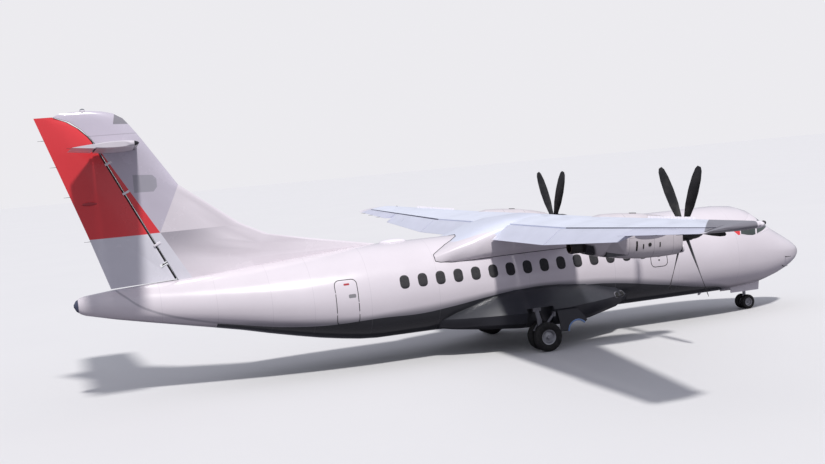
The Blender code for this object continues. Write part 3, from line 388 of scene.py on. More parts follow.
def blend(tree, share, first, second, way="MIX"):
    """Mixes two colours by a share, and gives the colour socket."""
    made = node(tree, "Mix", {"Factor": share, "A": first, "B": second}, data_type="RGBA", blend_type=way)
    return made.outputs["Result"]


def maths(tree, way, *values):
    """The result of a sum or comparison of sockets and numbers."""
    return node(tree, "Math", dict(enumerate(values)), operation=way).outputs["Value"]


def mapped(tree, value, low, high, first=0.0, last=1.0, way="LINEAR"):
    """A value carried from one range into another and held at its ends."""
    feeds = {"Value": value, "From Min": low, "From Max": high, "To Min": first, "To Max": last}
    return node(tree, "MapRange", feeds, interpolation_type=way).outputs["Result"]


def noise(tree, size, detail, roughness=0.5):
    """Soft random patches of about a size in metres, fixed to the object."""
    place = node(tree, "TexCoord").outputs["Object"]
    feeds = {"Vector": place, "Scale": 1 / size, "Detail": detail, "Roughness": roughness}
    return node(tree, "TexNoise", feeds).outputs["Fac"]


def position(tree):
    """The x, y and z of the point that is shaded, in the object's own frame."""
    parts = node(tree, "SeparateXYZ", {0: node(tree, "TexCoord").outputs["Object"]}).outputs
    return parts["X"], parts["Y"], parts["Z"]


def ripple(tree, shader, height, strength, distance):
    """Small unevenness of a surface, from a height pattern."""
    lift = node(tree, "Bump", {"Height": height, "Strength": strength, "Distance": distance})
    tree.links.new(lift.outputs["Normal"], shader.inputs["Normal"])


def weathered(tree, shader, colour, roughness, grain, bump, spread=0.06):
    """Uneven gloss and tone, and the slight waves of a thin skin.

    grain and bump are the sizes of the tone patches and of the waves, in metres.
    """
    patch = noise(tree, grain, 5.0, 0.6)
    tone = mapped(tree, patch, 0.3, 0.7, 1 - spread, 1.0)
    shade = blend(tree, 1.0, colour, tone, "MULTIPLY")
    tree.links.new(shade, shader.inputs["Base Color"])
    gloss = mapped(tree, patch, 0.3, 0.7, roughness * 0.85, roughness * 1.25)
    tree.links.new(gloss, shader.inputs["Roughness"])
    ripple(tree, shader, noise(tree, bump, 1.0), 0.05, 0.02)


def height_curve(tree, x, table):
    """A height along the fuselage, read from a table of (station, height)."""
    along = mapped(tree, x, NOSE_X, NOSE_X - LENGTH)
    curve = node(tree, "FloatCurve", {"Value": along})
    line = curve.mapping.curves[0]
    for (station, height), point in zip((table[0], table[-1]), (line.points[0], line.points[-1])):
        point.location = (station / LENGTH, height / HEIGHT_RANGE)
    for station, height in table[1:-1]:
        line.points.new(station / LENGTH, height / HEIGHT_RANGE)
    curve.mapping.update()
    return maths(tree, "MULTIPLY", curve.outputs["Value"], HEIGHT_RANGE)


def above(tree, value, limit, soft=0.004):
    """A share that rises from 0 to 1 as a value passes a limit."""
    over = maths(tree, "SUBTRACT", value, limit)
    return mapped(tree, over, -soft, soft)


def times(tree, first, second):
    return maths(tree, "MULTIPLY", first, second)


def area(tree, x, z, corners, soft=0.004):
    """A share that is 1 inside an outline of (station, height) with no hollow side."""
    inside = None
    centre = [sum(corner[k] for corner in corners) / len(corners) for k in (0, 1)]
    for (s0, z0), (s1, z1) in zip(corners, corners[1:] + corners[:1]):
        long = math.hypot(s1 - s0, z1 - z0)
        across_s, across_z = (z1 - z0) / long, -(s1 - s0) / long
        if (centre[0] - s0) * across_s + (centre[1] - z0) * across_z < 0:
            across_s, across_z = -across_s, -across_z
        start_at = (NOSE_X - s0) * -across_s + z0 * across_z
        part = maths(tree, "MULTIPLY", x, -across_s)
        whole = maths(tree, "MULTIPLY_ADD", z, across_z, part)
        side = above(tree, whole, start_at, soft)
        inside = side if inside is None else maths(tree, "MINIMUM", inside, side)
    return inside


def widest(tree, shares):
    """The largest of several shares."""
    whole = shares[0]
    for share in shares[1:]:
        whole = maths(tree, "MAXIMUM", whole, share)
    return whole


def seams(tree, x, stations, wide=0.007):
    """A share that is 1 on the joints between skin panels; they are drawn wider than real, to show."""
    return widest(tree, [maths(tree, "COMPARE", x, NOSE_X - station, wide) for station in stations])


WHITE = linear("e3dbe1")
CHARCOAL = linear("303135")
RED = linear("e63c42")
BAND_AND_SHADE_GREY = linear("8f8c93")
LILAC_GREY = linear("e0dee6")
FIN_GREY = linear("c9c2cf")
LINE_GREY = linear("a7a3ab")
SHADE = linear("8f8a92")

# Joints between skin panels, the end of the charcoal belly, and where the grey band fades out: stations
SKIN_JOINTS = (3.0, 5.1, 7.2, 9.9, 12.6, 14.55, 16.1, 17.2, 18.6, 20.0)
BELLY_END = 18.62
BAND_FADE = (18.9, 17.6)

# Upper edges of the charcoal belly, of the grey band that is partly painted shade, and the thin tail line:
# station, height
CHARCOAL_LINE = (
    (0.0, 0.0), (3.0, 0.70), (3.6, 0.96), (4.2, 1.03), (5.6, 1.27), (7.6, 1.56), (8.1, 1.59), (9.4, 1.72),
    (10.2, 1.70), (11.0, 1.63), (12.3, 1.46), (13.2, 1.38), (14.2, 1.40), (16.0, 1.38), (18.5, 1.72),
    (19.5, 1.92), (22.67, 2.8),
)
BAND_LINE = (
    (0.0, 0.3), (2.6, 0.80), (3.3, 1.03), (4.1, 1.20), (5.5, 1.47), (6.9, 1.70), (7.7, 1.78), (8.5, 1.82),
    (9.4, 1.85), (10.2, 1.84), (11.0, 1.81), (11.8, 1.74), (12.8, 1.68), (13.8, 1.61), (14.8, 1.56),
    (15.7, 1.63), (17.0, 1.72), (18.5, 1.90), (22.67, 3.0),
)
TAIL_LINE = (
    (0.0, 0.1), (14.6, 0.5), (15.7, 1.35), (16.5, 1.41), (17.33, 1.53), (18.05, 1.64), (18.84, 1.81),
    (19.37, 1.95), (19.91, 2.12), (20.25, 2.26), (20.56, 2.43), (20.84, 2.66), (21.1, 2.88), (21.5, 3.4),
    (22.67, 3.9),
)

# Outlines of colour fields: station, height
COCKPIT_PATCH = [(3.07, 2.64), (2.95, 2.74), (2.74, 2.78), (2.735, 2.70), (2.82, 2.465), (2.89, 2.455)]
PANES = [(0.80, 2.72), (1.69, 2.52), (2.36, 2.385), (2.78, 2.48), (2.695, 2.70), (2.50, 2.86), (1.98, 3.2),
         (0.80, 3.2)]
PANE_POST = [(2.18, 2.36), (2.245, 2.36), (1.96, 2.98), (1.90, 2.98)]


def fuselage_paint():
    """Gloss polyurethane, sprayed over aluminium sheet: wet-looking, with faint waves between the frames."""
    look, tree, shader = finish_named("gloss_polyurethane_livery", 0.22, Coat_Weight=0.5, Coat_Roughness=0.06)
    x, _, z = position(tree)
    edge = height_curve(tree, x, CHARCOAL_LINE)
    band = height_curve(tree, x, BAND_LINE)
    # The white fades to grey towards the belly: partly a livery band, partly painted shade on the lower flank
    fade = mapped(tree, z, band, edge, way="SMOOTHSTEP")
    ahead = mapped(tree, x, NOSE_X - BAND_FADE[0], NOSE_X - BAND_FADE[1])
    colour = blend(tree, times(tree, fade, ahead), WHITE, BAND_AND_SHADE_GREY)
    line = height_curve(tree, x, TAIL_LINE)
    off = maths(tree, "SUBTRACT", z, line)
    stripe = mapped(tree, maths(tree, "ABSOLUTE", off), 0.05, 0.012, 0.0, 0.75)
    colour = blend(tree, stripe, colour, LINE_GREY)
    colour = blend(tree, area(tree, x, z, COCKPIT_PATCH), colour, RED)
    belly = times(tree, above(tree, edge, z), above(tree, x, NOSE_X - BELLY_END))
    colour = blend(tree, belly, colour, CHARCOAL)
    joints = seams(tree, x, SKIN_JOINTS)
    colour = blend(tree, times(tree, joints, 0.16), colour, SHADE)
    weathered(tree, shader, colour, 0.22, grain=1.6, bump=0.7)
    return look


CAP_JOINT = 6.93                # height of the joint under the fin's cap
FIN_RED = [(19.80, 4.26), (21.11, 6.53), (21.37, 6.84), (24.0, 8.0), (24.0, 4.24)]
RUDDER_RED = [(16.0, 4.25), (16.0, 9.0), (25.0, 9.0), (25.0, 4.25)]
FIN_LOW = [(19.80, 4.26), (19.08, 2.98), (18.9, 2.60), (24.0, 2.60), (24.0, 4.26)]
FIN_HIGH = [(19.80, 4.26), (19.20, 5.49), (18.0, 7.96), (24.0, 8.5), (24.0, 4.26)]
FIN_FACET = [(19.80, 4.26), (19.08, 2.98), (16.4, 3.4), (16.4, 4.26)]
FIN_MARK = [(20.30, 7.46), (20.62, 7.62), (20.72, 7.20), (20.30, 7.18)]
# A painted shadow on the fin, a grey patch below the tailplane: station, height
FIN_PAINTED_SHADOW = [(20.36, 5.84), (19.86, 5.80), (19.76, 5.70), (19.76, 5.48), (19.86, 5.36), (20.36, 5.37)]
# Stations and heights over which the fin's root darkens
FACET_ALONG = (17.6, 19.6)
FACET_UP = (3.2, 4.26)


def tail_paint(red_outline, name):
    """The same gloss polyurethane over composite skins: the tail's colour fields meet in straight edges."""
    look, tree, shader = finish_named(name, 0.24, Coat_Weight=0.4, Coat_Roughness=0.08)
    x, _, z = position(tree)
    fade_x = mapped(tree, x, NOSE_X - FACET_ALONG[0], NOSE_X - FACET_ALONG[1], 0.0, 0.8, "SMOOTHSTEP")
    fade_z = mapped(tree, z, *FACET_UP, way="SMOOTHSTEP")
    facet = times(tree, times(tree, fade_x, fade_z), area(tree, x, z, FIN_FACET))
    colour = blend(tree, facet, WHITE, linear("9c97a0"))
    colour = blend(tree, area(tree, x, z, FIN_HIGH), colour, FIN_GREY)
    colour = blend(tree, area(tree, x, z, FIN_LOW), colour, LILAC_GREY)
    colour = blend(tree, area(tree, x, z, FIN_MARK), colour, linear("8e8b92"))
    # Painted shadow below the tailplane
    colour = blend(tree, area(tree, x, z, FIN_PAINTED_SHADOW), colour, linear("a9a6b0"))
    cap = maths(tree, "COMPARE", z, CAP_JOINT, 0.01)
    colour = blend(tree, times(tree, cap, 0.5), colour, SHADE)
    colour = blend(tree, area(tree, x, z, red_outline), colour, RED)
    weathered(tree, shader, colour, 0.24, grain=1.2, bump=0.6)
    return look


def plain_paint(name, colour, roughness=0.3, grain=1.0, coat=0.3):
    """Polyurethane over a metal or composite skin: an even gloss with patches of slight wear."""
    look, tree, shader = finish_named(name, roughness, Coat_Weight=coat, Coat_Roughness=0.1)
    weathered(tree, shader, linear(colour), roughness, grain=grain, bump=0.5)
    return look


WING_SWEEP = 0.1556             # aft run of the leading edge for each metre outboard of the kink
WING_LEAD = 8.42
KINK_Y = 4.83
BOOT_DEEP = 0.13
BOOT_FROM = 5.4                 # distance out from the centre line where the boot starts
WING_RIBS = (2.9, 5.6, 6.6, 7.65, 8.73, 9.8, 10.9)
WING_SPARS = (0.42, 1.25)       # skin joints along the span, behind the leading edge

# A painted shade across the right wing tip only, a grey wedge: station, y
TIP_PAINTED_SHADE = [(9.52, -10.15), (10.80, -11.95), (10.95, -12.40), (9.85, -12.40), (9.42, -11.30)]
TIP_SHADE_GREY = linear("7c7981")
TAIL_BOOT = (20.17, 0.063, 0.11)    # station at the middle, sweep, depth


def surface_paint(name, base, tip_shade=False, boot=None):
    """Polyurethane on a flap, aileron, tip or tail surface.

    boot is the station at the middle, the sweep and the depth of a rubber boot on the leading edge.
    """
    look, tree, shader = finish_named(name, 0.32, Coat_Weight=0.3, Coat_Roughness=0.1)
    x, y, _ = position(tree)
    colour = linear(base)
    # The grey wedge is painted shade, on the right wing tip only
    if tip_shade:
        colour = blend(tree, area(tree, x, y, TIP_PAINTED_SHADE, 0.01), colour, TIP_SHADE_GREY)
    if boot:
        middle, sweep, depth = boot
        out = maths(tree, "ABSOLUTE", y)
        straight = maths(tree, "MULTIPLY_ADD", out, sweep, x)
        colour = blend(tree, above(tree, straight, NOSE_X - middle - depth), colour, linear("232327"))
    weathered(tree, shader, colour, 0.32, grain=0.6, bump=0.5)
    return look


# The wing colour on the root fairing: its rear edge, that edge's slant, its front edge and its foot
CROWN_REAR = 14.29
CROWN_SLANT = 2.6
CROWN_FRONT = 8.25
CROWN_FOOT = 3.2


def root_paint():
    """Wing paint on top of the root fairing, where it carries the wing skin across, and white round it."""
    look, tree, shader = finish_named("root_fairing_polyurethane", 0.32, Coat_Weight=0.3, Coat_Roughness=0.2)
    x, y, z = position(tree)
    out = maths(tree, "ABSOLUTE", y)
    slanted = maths(tree, "MULTIPLY_ADD", out, -CROWN_SLANT, x)
    crown = times(tree, above(tree, slanted, NOSE_X - CROWN_REAR), above(tree, z, CROWN_FOOT, 0.02))
    crown = times(tree, crown, above(tree, NOSE_X - CROWN_FRONT, x))
    weathered(tree, shader, blend(tree, crown, WHITE, linear("dfe3f3")), 0.32, grain=0.9, bump=0.5)
    return look


NACELLE_SOOT = [(9.10, 2.40), (9.32, 2.98), (9.60, 3.06), (10.2, 3.06), (10.2, 2.40)]
# A painted shadow, a darker triangle on the nacelle's flank: station, height
NACELLE_SHADE = [(8.30, 2.45), (8.72, 3.02), (8.86, 3.02), (9.20, 2.45)]
COWL_SPLIT = 3.06
COWL_JOINTS = (7.02, 7.62, 8.35)


def nacelle_look():
    """Polyurethane on the cowl panels, with their joints, soot round the exhaust, and a painted shadow on the
    flank.
    """
    look, tree, shader = finish_named("nacelle_polyurethane", 0.3, Coat_Weight=0.3, Coat_Roughness=0.12)
    x, _, z = position(tree)
    joints = seams(tree, x, COWL_JOINTS, 0.006)
    level = maths(tree, "COMPARE", z, COWL_SPLIT, 0.006)
    level = times(tree, level, above(tree, x, NOSE_X - COWL_JOINTS[-1]))
    joints = maths(tree, "MAXIMUM", joints, level)
    # Painted shadow on the flank
    flank_shadow = times(tree, area(tree, x, z, NACELLE_SHADE, 0.02), 0.35)
    colour = blend(tree, flank_shadow, linear("d8d0d4"), linear("928c91"))
    colour = blend(tree, times(tree, joints, 0.5), colour, linear("6f6b70"))
    colour = blend(tree, area(tree, x, z, NACELLE_SOOT, 0.03), colour, linear("343236"))
    weathered(tree, shader, colour, 0.3, grain=0.5, bump=0.4, spread=0.1)
    return look


def wing_paint():
    """Pale blue-grey polyurethane on the wing skins, with black rubber boots along the leading edge, and a
    painted shade across the right wing tip.
    """
    coat = {"Coat_Weight": 0.15, "Coat_Roughness": 0.15}
    look, tree, shader = finish_named("wing_polyurethane_and_boots", 0.34, **coat)
    x, y, _ = position(tree)
    span = maths(tree, "ABSOLUTE", y)
    out = maths(tree, "SUBTRACT", span, KINK_Y)
    out = maths(tree, "MAXIMUM", out, 0.0)
    straightened = maths(tree, "MULTIPLY_ADD", out, WING_SWEEP, x)
    boot = above(tree, straightened, NOSE_X - WING_LEAD - BOOT_DEEP)
    boot = times(tree, boot, above(tree, span, BOOT_FROM))
    lines = [maths(tree, "COMPARE", span, where, 0.006) for where in WING_RIBS]
    lines += [maths(tree, "COMPARE", straightened, NOSE_X - WING_LEAD - where, 0.005) for where in WING_SPARS]
    ribs = widest(tree, lines)
    colour = blend(tree, times(tree, ribs, 0.30), linear("e9edfb"), linear("9fa2b2"))
    colour = blend(tree, boot, colour, linear("2c2c30"))
    # Painted shade across the right wing tip
    colour = blend(tree, area(tree, x, y, TIP_PAINTED_SHADE, 0.01), colour, TIP_SHADE_GREY)
    weathered(tree, shader, colour, 0.34, grain=0.9, bump=0.5)
    return look


def belly_paint():
    """Charcoal polyurethane on the moulded belly fairing, with a soft sheen and runway dirt low down."""
    coat = {"Coat_Weight": 0.3, "Coat_Roughness": 0.2}
    look, tree, shader = finish_named("charcoal_belly_polyurethane", 0.36, **coat)
    _, _, z = position(tree)
    low = mapped(tree, z, 0.95, 0.5, 0.0, 0.35)
    colour = blend(tree, low, linear("33343a"), linear("434142"))
    weathered(tree, shader, colour, 0.36, grain=0.7, bump=0.4, spread=0.12)
    return look


def rubber(name, colour, roughness, grain):
    """Black rubber, and soot, black resin and the painted shade in openings, which look like it: matt, with a
    dusty bloom in patches.
    """
    look, tree, shader = finish_named(name, roughness)
    share = mapped(tree, noise(tree, grain, 6.0, 0.65), 0.45, 0.75, 0.0, 0.5)
    colour = blend(tree, share, linear(colour), linear("4a4744"))
    tree.links.new(colour, shader.inputs["Base Color"])
    ripple(tree, shader, noise(tree, 0.0025, 2.0), 0.15, 0.001)
    return look


def metal(name, colour, roughness, grain):
    """Bare or plated metal, with uneven polish and oily patches."""
    look, tree, shader = finish_named(name, roughness, metallic=1.0)
    patch = noise(tree, grain, 5.0)
    gloss = mapped(tree, patch, 0.3, 0.7, roughness * 0.75, roughness * 1.4)
    tree.links.new(gloss, shader.inputs["Roughness"])
    tone = mapped(tree, patch, 0.3, 0.7, 0.82, 1.0)
    tree.links.new(blend(tree, 1.0, linear(colour), tone, "MULTIPLY"), shader.inputs["Base Color"])
    return look


SILL_GLOW = (2.36, 2.14)        # heights between which the cabin glass turns bluer


def window_glass(name, colour, roughness=0.06):
    """Acrylic windows and lamp covers: the windows are near black and turn bluer towards the sill."""
    look, tree, shader = finish_named(name, roughness, IOR=1.49)
    share = mapped(tree, noise(tree, 0.625, 3.0), 0.35, 0.65)
    _, _, z = position(tree)
    sill = mapped(tree, z, *SILL_GLOW)
    dark = blend(tree, share, linear(colour), linear("30353a"))
    tree.links.new(blend(tree, sill, dark, linear("587484")), shader.inputs["Base Color"])
    return look


TAIL_RING = 22.065              # station where the white ring ends and the lens starts


def tail_end():
    """Smoked acrylic cover over the tail light, behind a white painted ring."""
    look, tree, shader = finish_named("smoked_acrylic_and_white_ring", 0.12, IOR=1.49)
    x, _, _ = position(tree)
    ring = above(tree, x, NOSE_X - TAIL_RING)
    lens = blend(tree, noise(tree, 1 / 9, 2.0), linear("3b4052"), linear("5b6076"))
    tree.links.new(blend(tree, ring, lens, WHITE), shader.inputs["Base Color"])
    return look


PANE_TOP = 2.945                # height of the glass's upper edge at the centre line
PANE_FALL = 0.22                # fall of that edge for each metre out
MIDDLE_POST = 0.022             # half width of the post on the centre line


def glazing_look():
    """Laminated cockpit glass in white painted frames: dark, sharp panes and painted posts."""
    look, tree, shader = finish_named("laminated_glass_in_painted_frames", 0.05)
    x, y, z = position(tree)
    out = maths(tree, "ABSOLUTE", y)
    top = maths(tree, "MULTIPLY_ADD", out, -PANE_FALL, PANE_TOP)
    pane = area(tree, x, z, PANES, 0.006)
    pane = times(tree, pane, above(tree, top, z, 0.006))
    pane = times(tree, pane, above(tree, out, MIDDLE_POST))
    post = area(tree, x, z, PANE_POST, 0.006)
    pane = times(tree, pane, maths(tree, "SUBTRACT", 1.0, post))
    paint = mapped(tree, pane, 0.0, 1.0, 0.24, 0.04)
    tree.links.new(paint, shader.inputs["Roughness"])
    glass = blend(tree, noise(tree, 1 / 2.4, 3.0), linear("1f2626"), linear("56605c"))
    frame_paint = blend(tree, area(tree, x, z, COCKPIT_PATCH), WHITE, RED)
    tree.links.new(blend(tree, pane, frame_paint, glass), shader.inputs["Base Color"])
    return look


skin_paint = fuselage_paint()
tail_lens = tail_end()
cockpit_look = glazing_look()
fin_paint = tail_paint(FIN_RED, "fin_polyurethane_livery")
rudder_paint = tail_paint(RUDDER_RED, "rudder_polyurethane_livery")
white_paint = plain_paint("white_polyurethane", "f1ebf1")
flap_paint = plain_paint("flap_polyurethane", "dadcec", roughness=0.32, grain=0.6)
wing_finish = wing_paint()
belly_finish = belly_paint()
nacelle_paint = nacelle_look()
aileron_paint = surface_paint("aileron_polyurethane", "d6d7ea", tip_shade=True)
tip_paint = surface_paint("tip_polyurethane", "ece5ec", tip_shade=True)
tailplane_paint = surface_paint("tailplane_polyurethane_and_boots", "ddd6dd", boot=TAIL_BOOT)
fairing_paint = root_paint()
cabin_glass = window_glass("cabin_acrylic", "22262b")
tyre_rubber = rubber("carbon_black_tyre_rubber", "1b1a1b", 0.78, 0.08)
seal_rubber = rubber("dark_silicone_seal", "222126", 0.6, 0.05)
blade_composite = rubber("black_polyurethane_on_carbon_blade", "161618", 0.42, 0.3)
wheel_metal = metal("cast_aluminium_wheel", "b9b9bd", 0.38, 0.05)
leg_enamel = plain_paint("white_enamelled_gear_steel", "c9c8cd", roughness=0.35, grain=0.1)
# Grey enamel for the main legs, links and outlet rims; on the main legs the grey is partly painted shade
grey_enamel_and_shade = plain_paint("grey_gear_enamel_partly_painted_shade", "78777d", roughness=0.4, grain=0.1)
oleo_chrome = metal("hard_chrome_oleo", "d8d8dc", 0.12, 0.04)
exhaust_metal = metal("heat_stained_nickel_alloy", "5a5048", 0.42, 0.06)
bare_metal = metal("stainless_steel", "a9a9ad", 0.3, 0.03)
cast_casing = metal("cast_magnesium_casing", "6d6d70", 0.5, 0.1)
gap_seal = plain_paint("grey_silicone_gap_seal", "6c6d7c", roughness=0.55, grain=0.3, coat=0.0)
# Black painted shade for the holes, vents and ducts, which are drawn as dark sheets and discs
opening_shade_black = rubber("black_painted_shade_in_openings", "141416", 0.85, 0.05)
lining = plain_paint("grey_moulded_lining", "8d8b8f", roughness=0.6, grain=0.4, coat=0.0)
lamp_glass = window_glass("clear_lamp_glass", "c9ccd2", roughness=0.04)
warning_red = plain_paint("red_marking_enamel", "b5313a", roughness=0.35, grain=0.05)
# Pale blue for the main gear doors' lip: a painted reflection of the sky
sky_reflection_blue = plain_paint("pale_blue_painted_sky_reflection", "86a6dc", roughness=0.3, grain=0.1)
exhaust_soot = rubber("sooted_exhaust_shell", "2b2724", 0.55, 0.05)


# The CAD skins, smoothly shaded

form = fuselage_form()
skins = {}
for name in ("nose", "forward_fuselage", "centre_fuselage", "rear_fuselage", "tail_fuselage", "service_door",
             "cargo_door", "passenger_door"):
    even_shading(dress(name, skin_paint, "white_paint"), form)
dress("tail_cone", tail_lens, "charcoal_paint")
even_shading(dress("cockpit_glazing", cockpit_look, "cockpit_glass"), form)
dress("wing_root_fairing", fairing_paint, "fairing_composite", smooth=40)
dress("gear_fairing", belly_finish, "charcoal_paint", smooth=40)
dress("wing_centre", wing_finish, "wing_grey_paint")
dress("fin", fin_paint, "tail_composite")
dress("rudder", rudder_paint, "red_composite")
dress("tailplane", tailplane_paint, "tail_composite")
for side, sign in SIDES:
    dress(f"wing_outer_{side}", wing_finish, "wing_grey_paint")
    dress(f"wing_tip_{side}", tip_paint, "surface_composite", smooth=50)
    for name in ("flap_inner", "flap_outer"):
        dress(f"{name}_{side}", flap_paint, "surface_composite")
    dress(f"aileron_{side}", aileron_paint, "surface_composite")
    dress(f"elevator_{side}", tailplane_paint, "tail_composite")
    dress(f"nacelle_{side}", nacelle_paint, "surface_composite")
    dress(f"exhaust_{side}", exhaust_metal, "exhaust_metal")
    frame["nodes"][f"engine_{side}"].material_slots[0].material = cast_casing
    dress(f"propeller_{side}", blade_composite, "black_blade_composite")
    dress(f"spinner_{side}", blade_composite, "black_blade_composite", smooth=50)
    # The main legs are grey partly as painted shade
    dress(f"main_leg_{side}", grey_enamel_and_shade, "gear_steel")
    dress(f"main_gear_door_{side}", belly_finish, "charcoal_paint")
    dress(f"nose_gear_door_{side}", white_paint, "white_paint")
for name in ("nose_leg", "nose_fork"):
    dress(name, leg_enamel, "gear_steel")


# Seals in the gaps of the moving surfaces, and the linings of the door openings

# The rudder's hinge line: station and height of its ends
HINGE_LOW = (19.58, 2.95)
HINGE_TOP = (21.36, 6.80)


def darken(piece, test, look):
    """Gives a second material to the faces that the test accepts."""
    piece.data.materials.append(look)
    for face in piece.data.polygons:
        if test(face):
            face.material_index = 1


def behind_hinge(face):
    """How far a face lies aft of the rudder's hinge line."""
    share = (face.center.z - HINGE_LOW[1]) / (HINGE_TOP[1] - HINGE_LOW[1])
    return NOSE_X - face.center.x - HINGE_LOW[0] - share * (HINGE_TOP[0] - HINGE_LOW[0])


darken(skins["rudder"], lambda face: face.normal.x > 0.35, seal_rubber)
darken(skins["fin"], lambda face: behind_hinge(face) > -0.12 and face.center.z < 7.0, seal_rubber)
for side, sign in SIDES:
    darken(skins[f"wing_outer_{side}"],
           lambda face: face.normal.x < -0.5 and abs(face.normal.z) < 0.8, gap_seal)
    for name in (f"aileron_{side}", f"elevator_{side}", f"flap_inner_{side}", f"flap_outer_{side}"):
        darken(skins[name], lambda face: face.normal.x > 0.85, gap_seal)
darken(skins["tailplane"], lambda face: face.normal.x < -0.5, gap_seal)
for name in ("nose", "forward_fuselage", "centre_fuselage", "rear_fuselage", "tail_fuselage"):
    inner = skins[name].vertex_groups["outer_skin"].index
    flags = [any(entry.group == inner for entry in vertex.groups) for vertex in skins[name].data.vertices]
    darken(skins[name], lambda face: not all(flags[k] for k in face.vertices), lining)


# Flat work laid on the fuselage skin

def plate(name, station, height, wide, tall, corner, side, out=1.7):
    """A round-cornered sheet that stands off one side of the fuselage."""
    piece = start(name, bpy.ops.mesh.primitive_plane_add, size=1.0)
    piece.data.transform(Matrix.Diagonal((wide, tall, 1, 1)))
    pick(piece, "VERT", lambda part: True)
    bpy.ops.mesh.bevel(offset=corner, segments=4, affect="VERTICES")
    done()
    turn = Matrix.Rotation(math.radians(-90 * side), 4, "X")
    if side > 0:
        turn = turn @ Matrix.Rotation(math.radians(180), 4, "Z")
    piece.data.transform(Matrix.Translation((NOSE_X - station, side * out, height)) @ turn)
    return piece


def across_cuts(piece, low, high, count):
    """Cuts a sheet along level planes, so that it follows the curve of the skin."""
    for step in range(1, count):
        pick(piece, "FACE", lambda part: True)
        bpy.ops.mesh.bisect(plane_co=(0, 0, low + (high - low) * step / count), plane_no=(0, 0, 1))
        done()


def lay(piece, target, side, thick, lift=0.0):
    """Pushes a sheet in onto the skin and gives it its thickness outwards."""
    shape(piece, "SHRINKWRAP", target=target, wrap_method="PROJECT", use_project_y=True,
          use_positive_direction=side < 0, use_negative_direction=side > 0, wrap_mode="ABOVE_SURFACE",
          offset=lift)
    shape(piece, "SOLIDIFY", thickness=thick, offset=1.0)
    tidy(piece)


WINDOW_PITCH = 0.521
WINDOW_FIRST = 5.745
WINDOW_COUNT = 16
WINDOW_HEIGHT = 2.30
WINDOW_WIDE = 0.27
WINDOW_TALL = 0.36
for side, sign in SIDES:
    first = plate(f"cabin_windows_{side}", WINDOW_FIRST, WINDOW_HEIGHT, WINDOW_WIDE, WINDOW_TALL, 0.115, sign)
    pick(first, "FACE", lambda part: True)
    bpy.ops.mesh.inset(thickness=0.02, depth=0)
    done()
    middle = max(first.data.polygons, key=lambda face: face.area).index
    for face in first.data.polygons:
        face.material_index = 1 if face.index == middle else 0
    across_cuts(first, WINDOW_HEIGHT - WINDOW_TALL / 2, WINDOW_HEIGHT + WINDOW_TALL / 2, 6)
    row = [first]
    for k in range(1, WINDOW_COUNT):
        twin = again(first, "window")
        twin.data.transform(Matrix.Translation((-WINDOW_PITCH * k, 0, 0)))
        row.append(twin)
    windows = together(row, f"cabin_windows_{side}")
    lay(windows, form, sign, 0.004)
    finish(windows, "airframe", "cockpit_glass", seal_rubber, cabin_glass, smooth=25)


# Station and height of the middle, width and height
SERVICE_DOOR = (15.205, 1.935, 0.63, 1.23)
EXIT_DOOR = (5.745, 2.32, 0.56, 0.98)
DOOR_CORNER = 0.14
SEAL_WIDE = 0.020


def door_ring(name, door, side):
    """The seal round a door, laid on the skin."""
    station, height, wide, tall = door
    piece = plate(name, station, height, wide, tall, DOOR_CORNER, side)
    pick(piece, "FACE", lambda part: True)
    bpy.ops.mesh.inset(thickness=SEAL_WIDE, depth=0)
    bpy.ops.mesh.delete(type="FACE")
    done()
    across_cuts(piece, height - tall / 2, height + tall / 2, 10)
    lay(piece, form, side, 0.002)
    finish(piece, "airframe", "charcoal_paint", seal_rubber, smooth=25)


door_ring("service_door_seal", SERVICE_DOOR, -1)
for side, sign in SIDES:
    door_ring(f"exit_outline_{side}", EXIT_DOOR, sign)


# Wheels: the tyres and rims of the CAD, made anew with their grooves, bolts and holes

GROOVE_PLACES = (0.42, 0.0, -0.42)  # shares of half the tyre's width
GROOVE_DEEP = 0.012
HOLE_COUNT = 9
BOLT_COUNT = 10


def tyre(name, centre, rim, radius, wide):
    """An aircraft tyre: round shoulders, a smooth crown and three grooves round it."""
    half = wide / 2
    deep = radius - GROOVE_DEEP
    profile = [(rim, half * 0.70), (rim + 0.03, half * 0.86), (rim + 0.45 * (radius - rim), half),
               (radius - 0.20 * wide, half * 0.95), (radius - 0.09 * wide, half * 0.80),
               (radius - 0.02 * wide, half * 0.60)]
    for where in GROOVE_PLACES:
        edge = half * where
        profile += [(radius, edge + 0.008), (deep, edge + 0.006)]
        profile += [(deep, edge - 0.006), (radius, edge - 0.008)]
    profile += [(r, -a) for r, a in reversed(profile[:6])]
    return turned(name, profile, centre, (0, 1, 0), steps=96)


def wheel_rim(name, centre, rim, wide, out):
    """A two-part forged wheel half: bead flange, dished web, hub and its cap; the web's holes are dark discs
    of painted shade.
    """
    half = wide * 0.36
    web = half * 0.35
    profile = [(0.0, web + 0.055), (rim * 0.18, web + 0.055), (rim * 0.22, web + 0.045),
               (rim * 0.24, web + 0.012), (rim * 0.42, web), (rim * 0.72, web + 0.005),
               (rim * 0.84, half * 0.80), (rim * 0.90, half + 0.004), (rim + 0.008, half + 0.008),
               (rim + 0.012, half), (rim + 0.002, half - 0.012), (rim + 0.002, -half)]
    face = turned(name, profile, centre, (0, out, 0), steps=64)
    web_face = (web - 0.004) * out
    hole = bar(name + "_hole", (0, 0, 0), (0, 0.012 * out, 0), rim * 0.065, steps=14)
    hole.data.transform(Matrix.Translation(Vector(centre) + Vector((rim * 0.60, web_face, 0))))
    bolt = bar(name + "_bolt", (0, 0, 0), (0, 0.022 * out, 0), rim * 0.030, steps=6)
    bolt.data.transform(Matrix.Translation(Vector(centre) + Vector((rim * 0.36, web_face, 0))))
    for face_in in hole.data.polygons:
        face_in.material_index = 1
    holes = around(hole, name + "_holes", HOLE_COUNT, centre, (0, 1, 0))
    bolts = around(bolt, name + "_bolts", BOLT_COUNT, centre, (0, 1, 0))
    return together([face, holes, bolts], name)


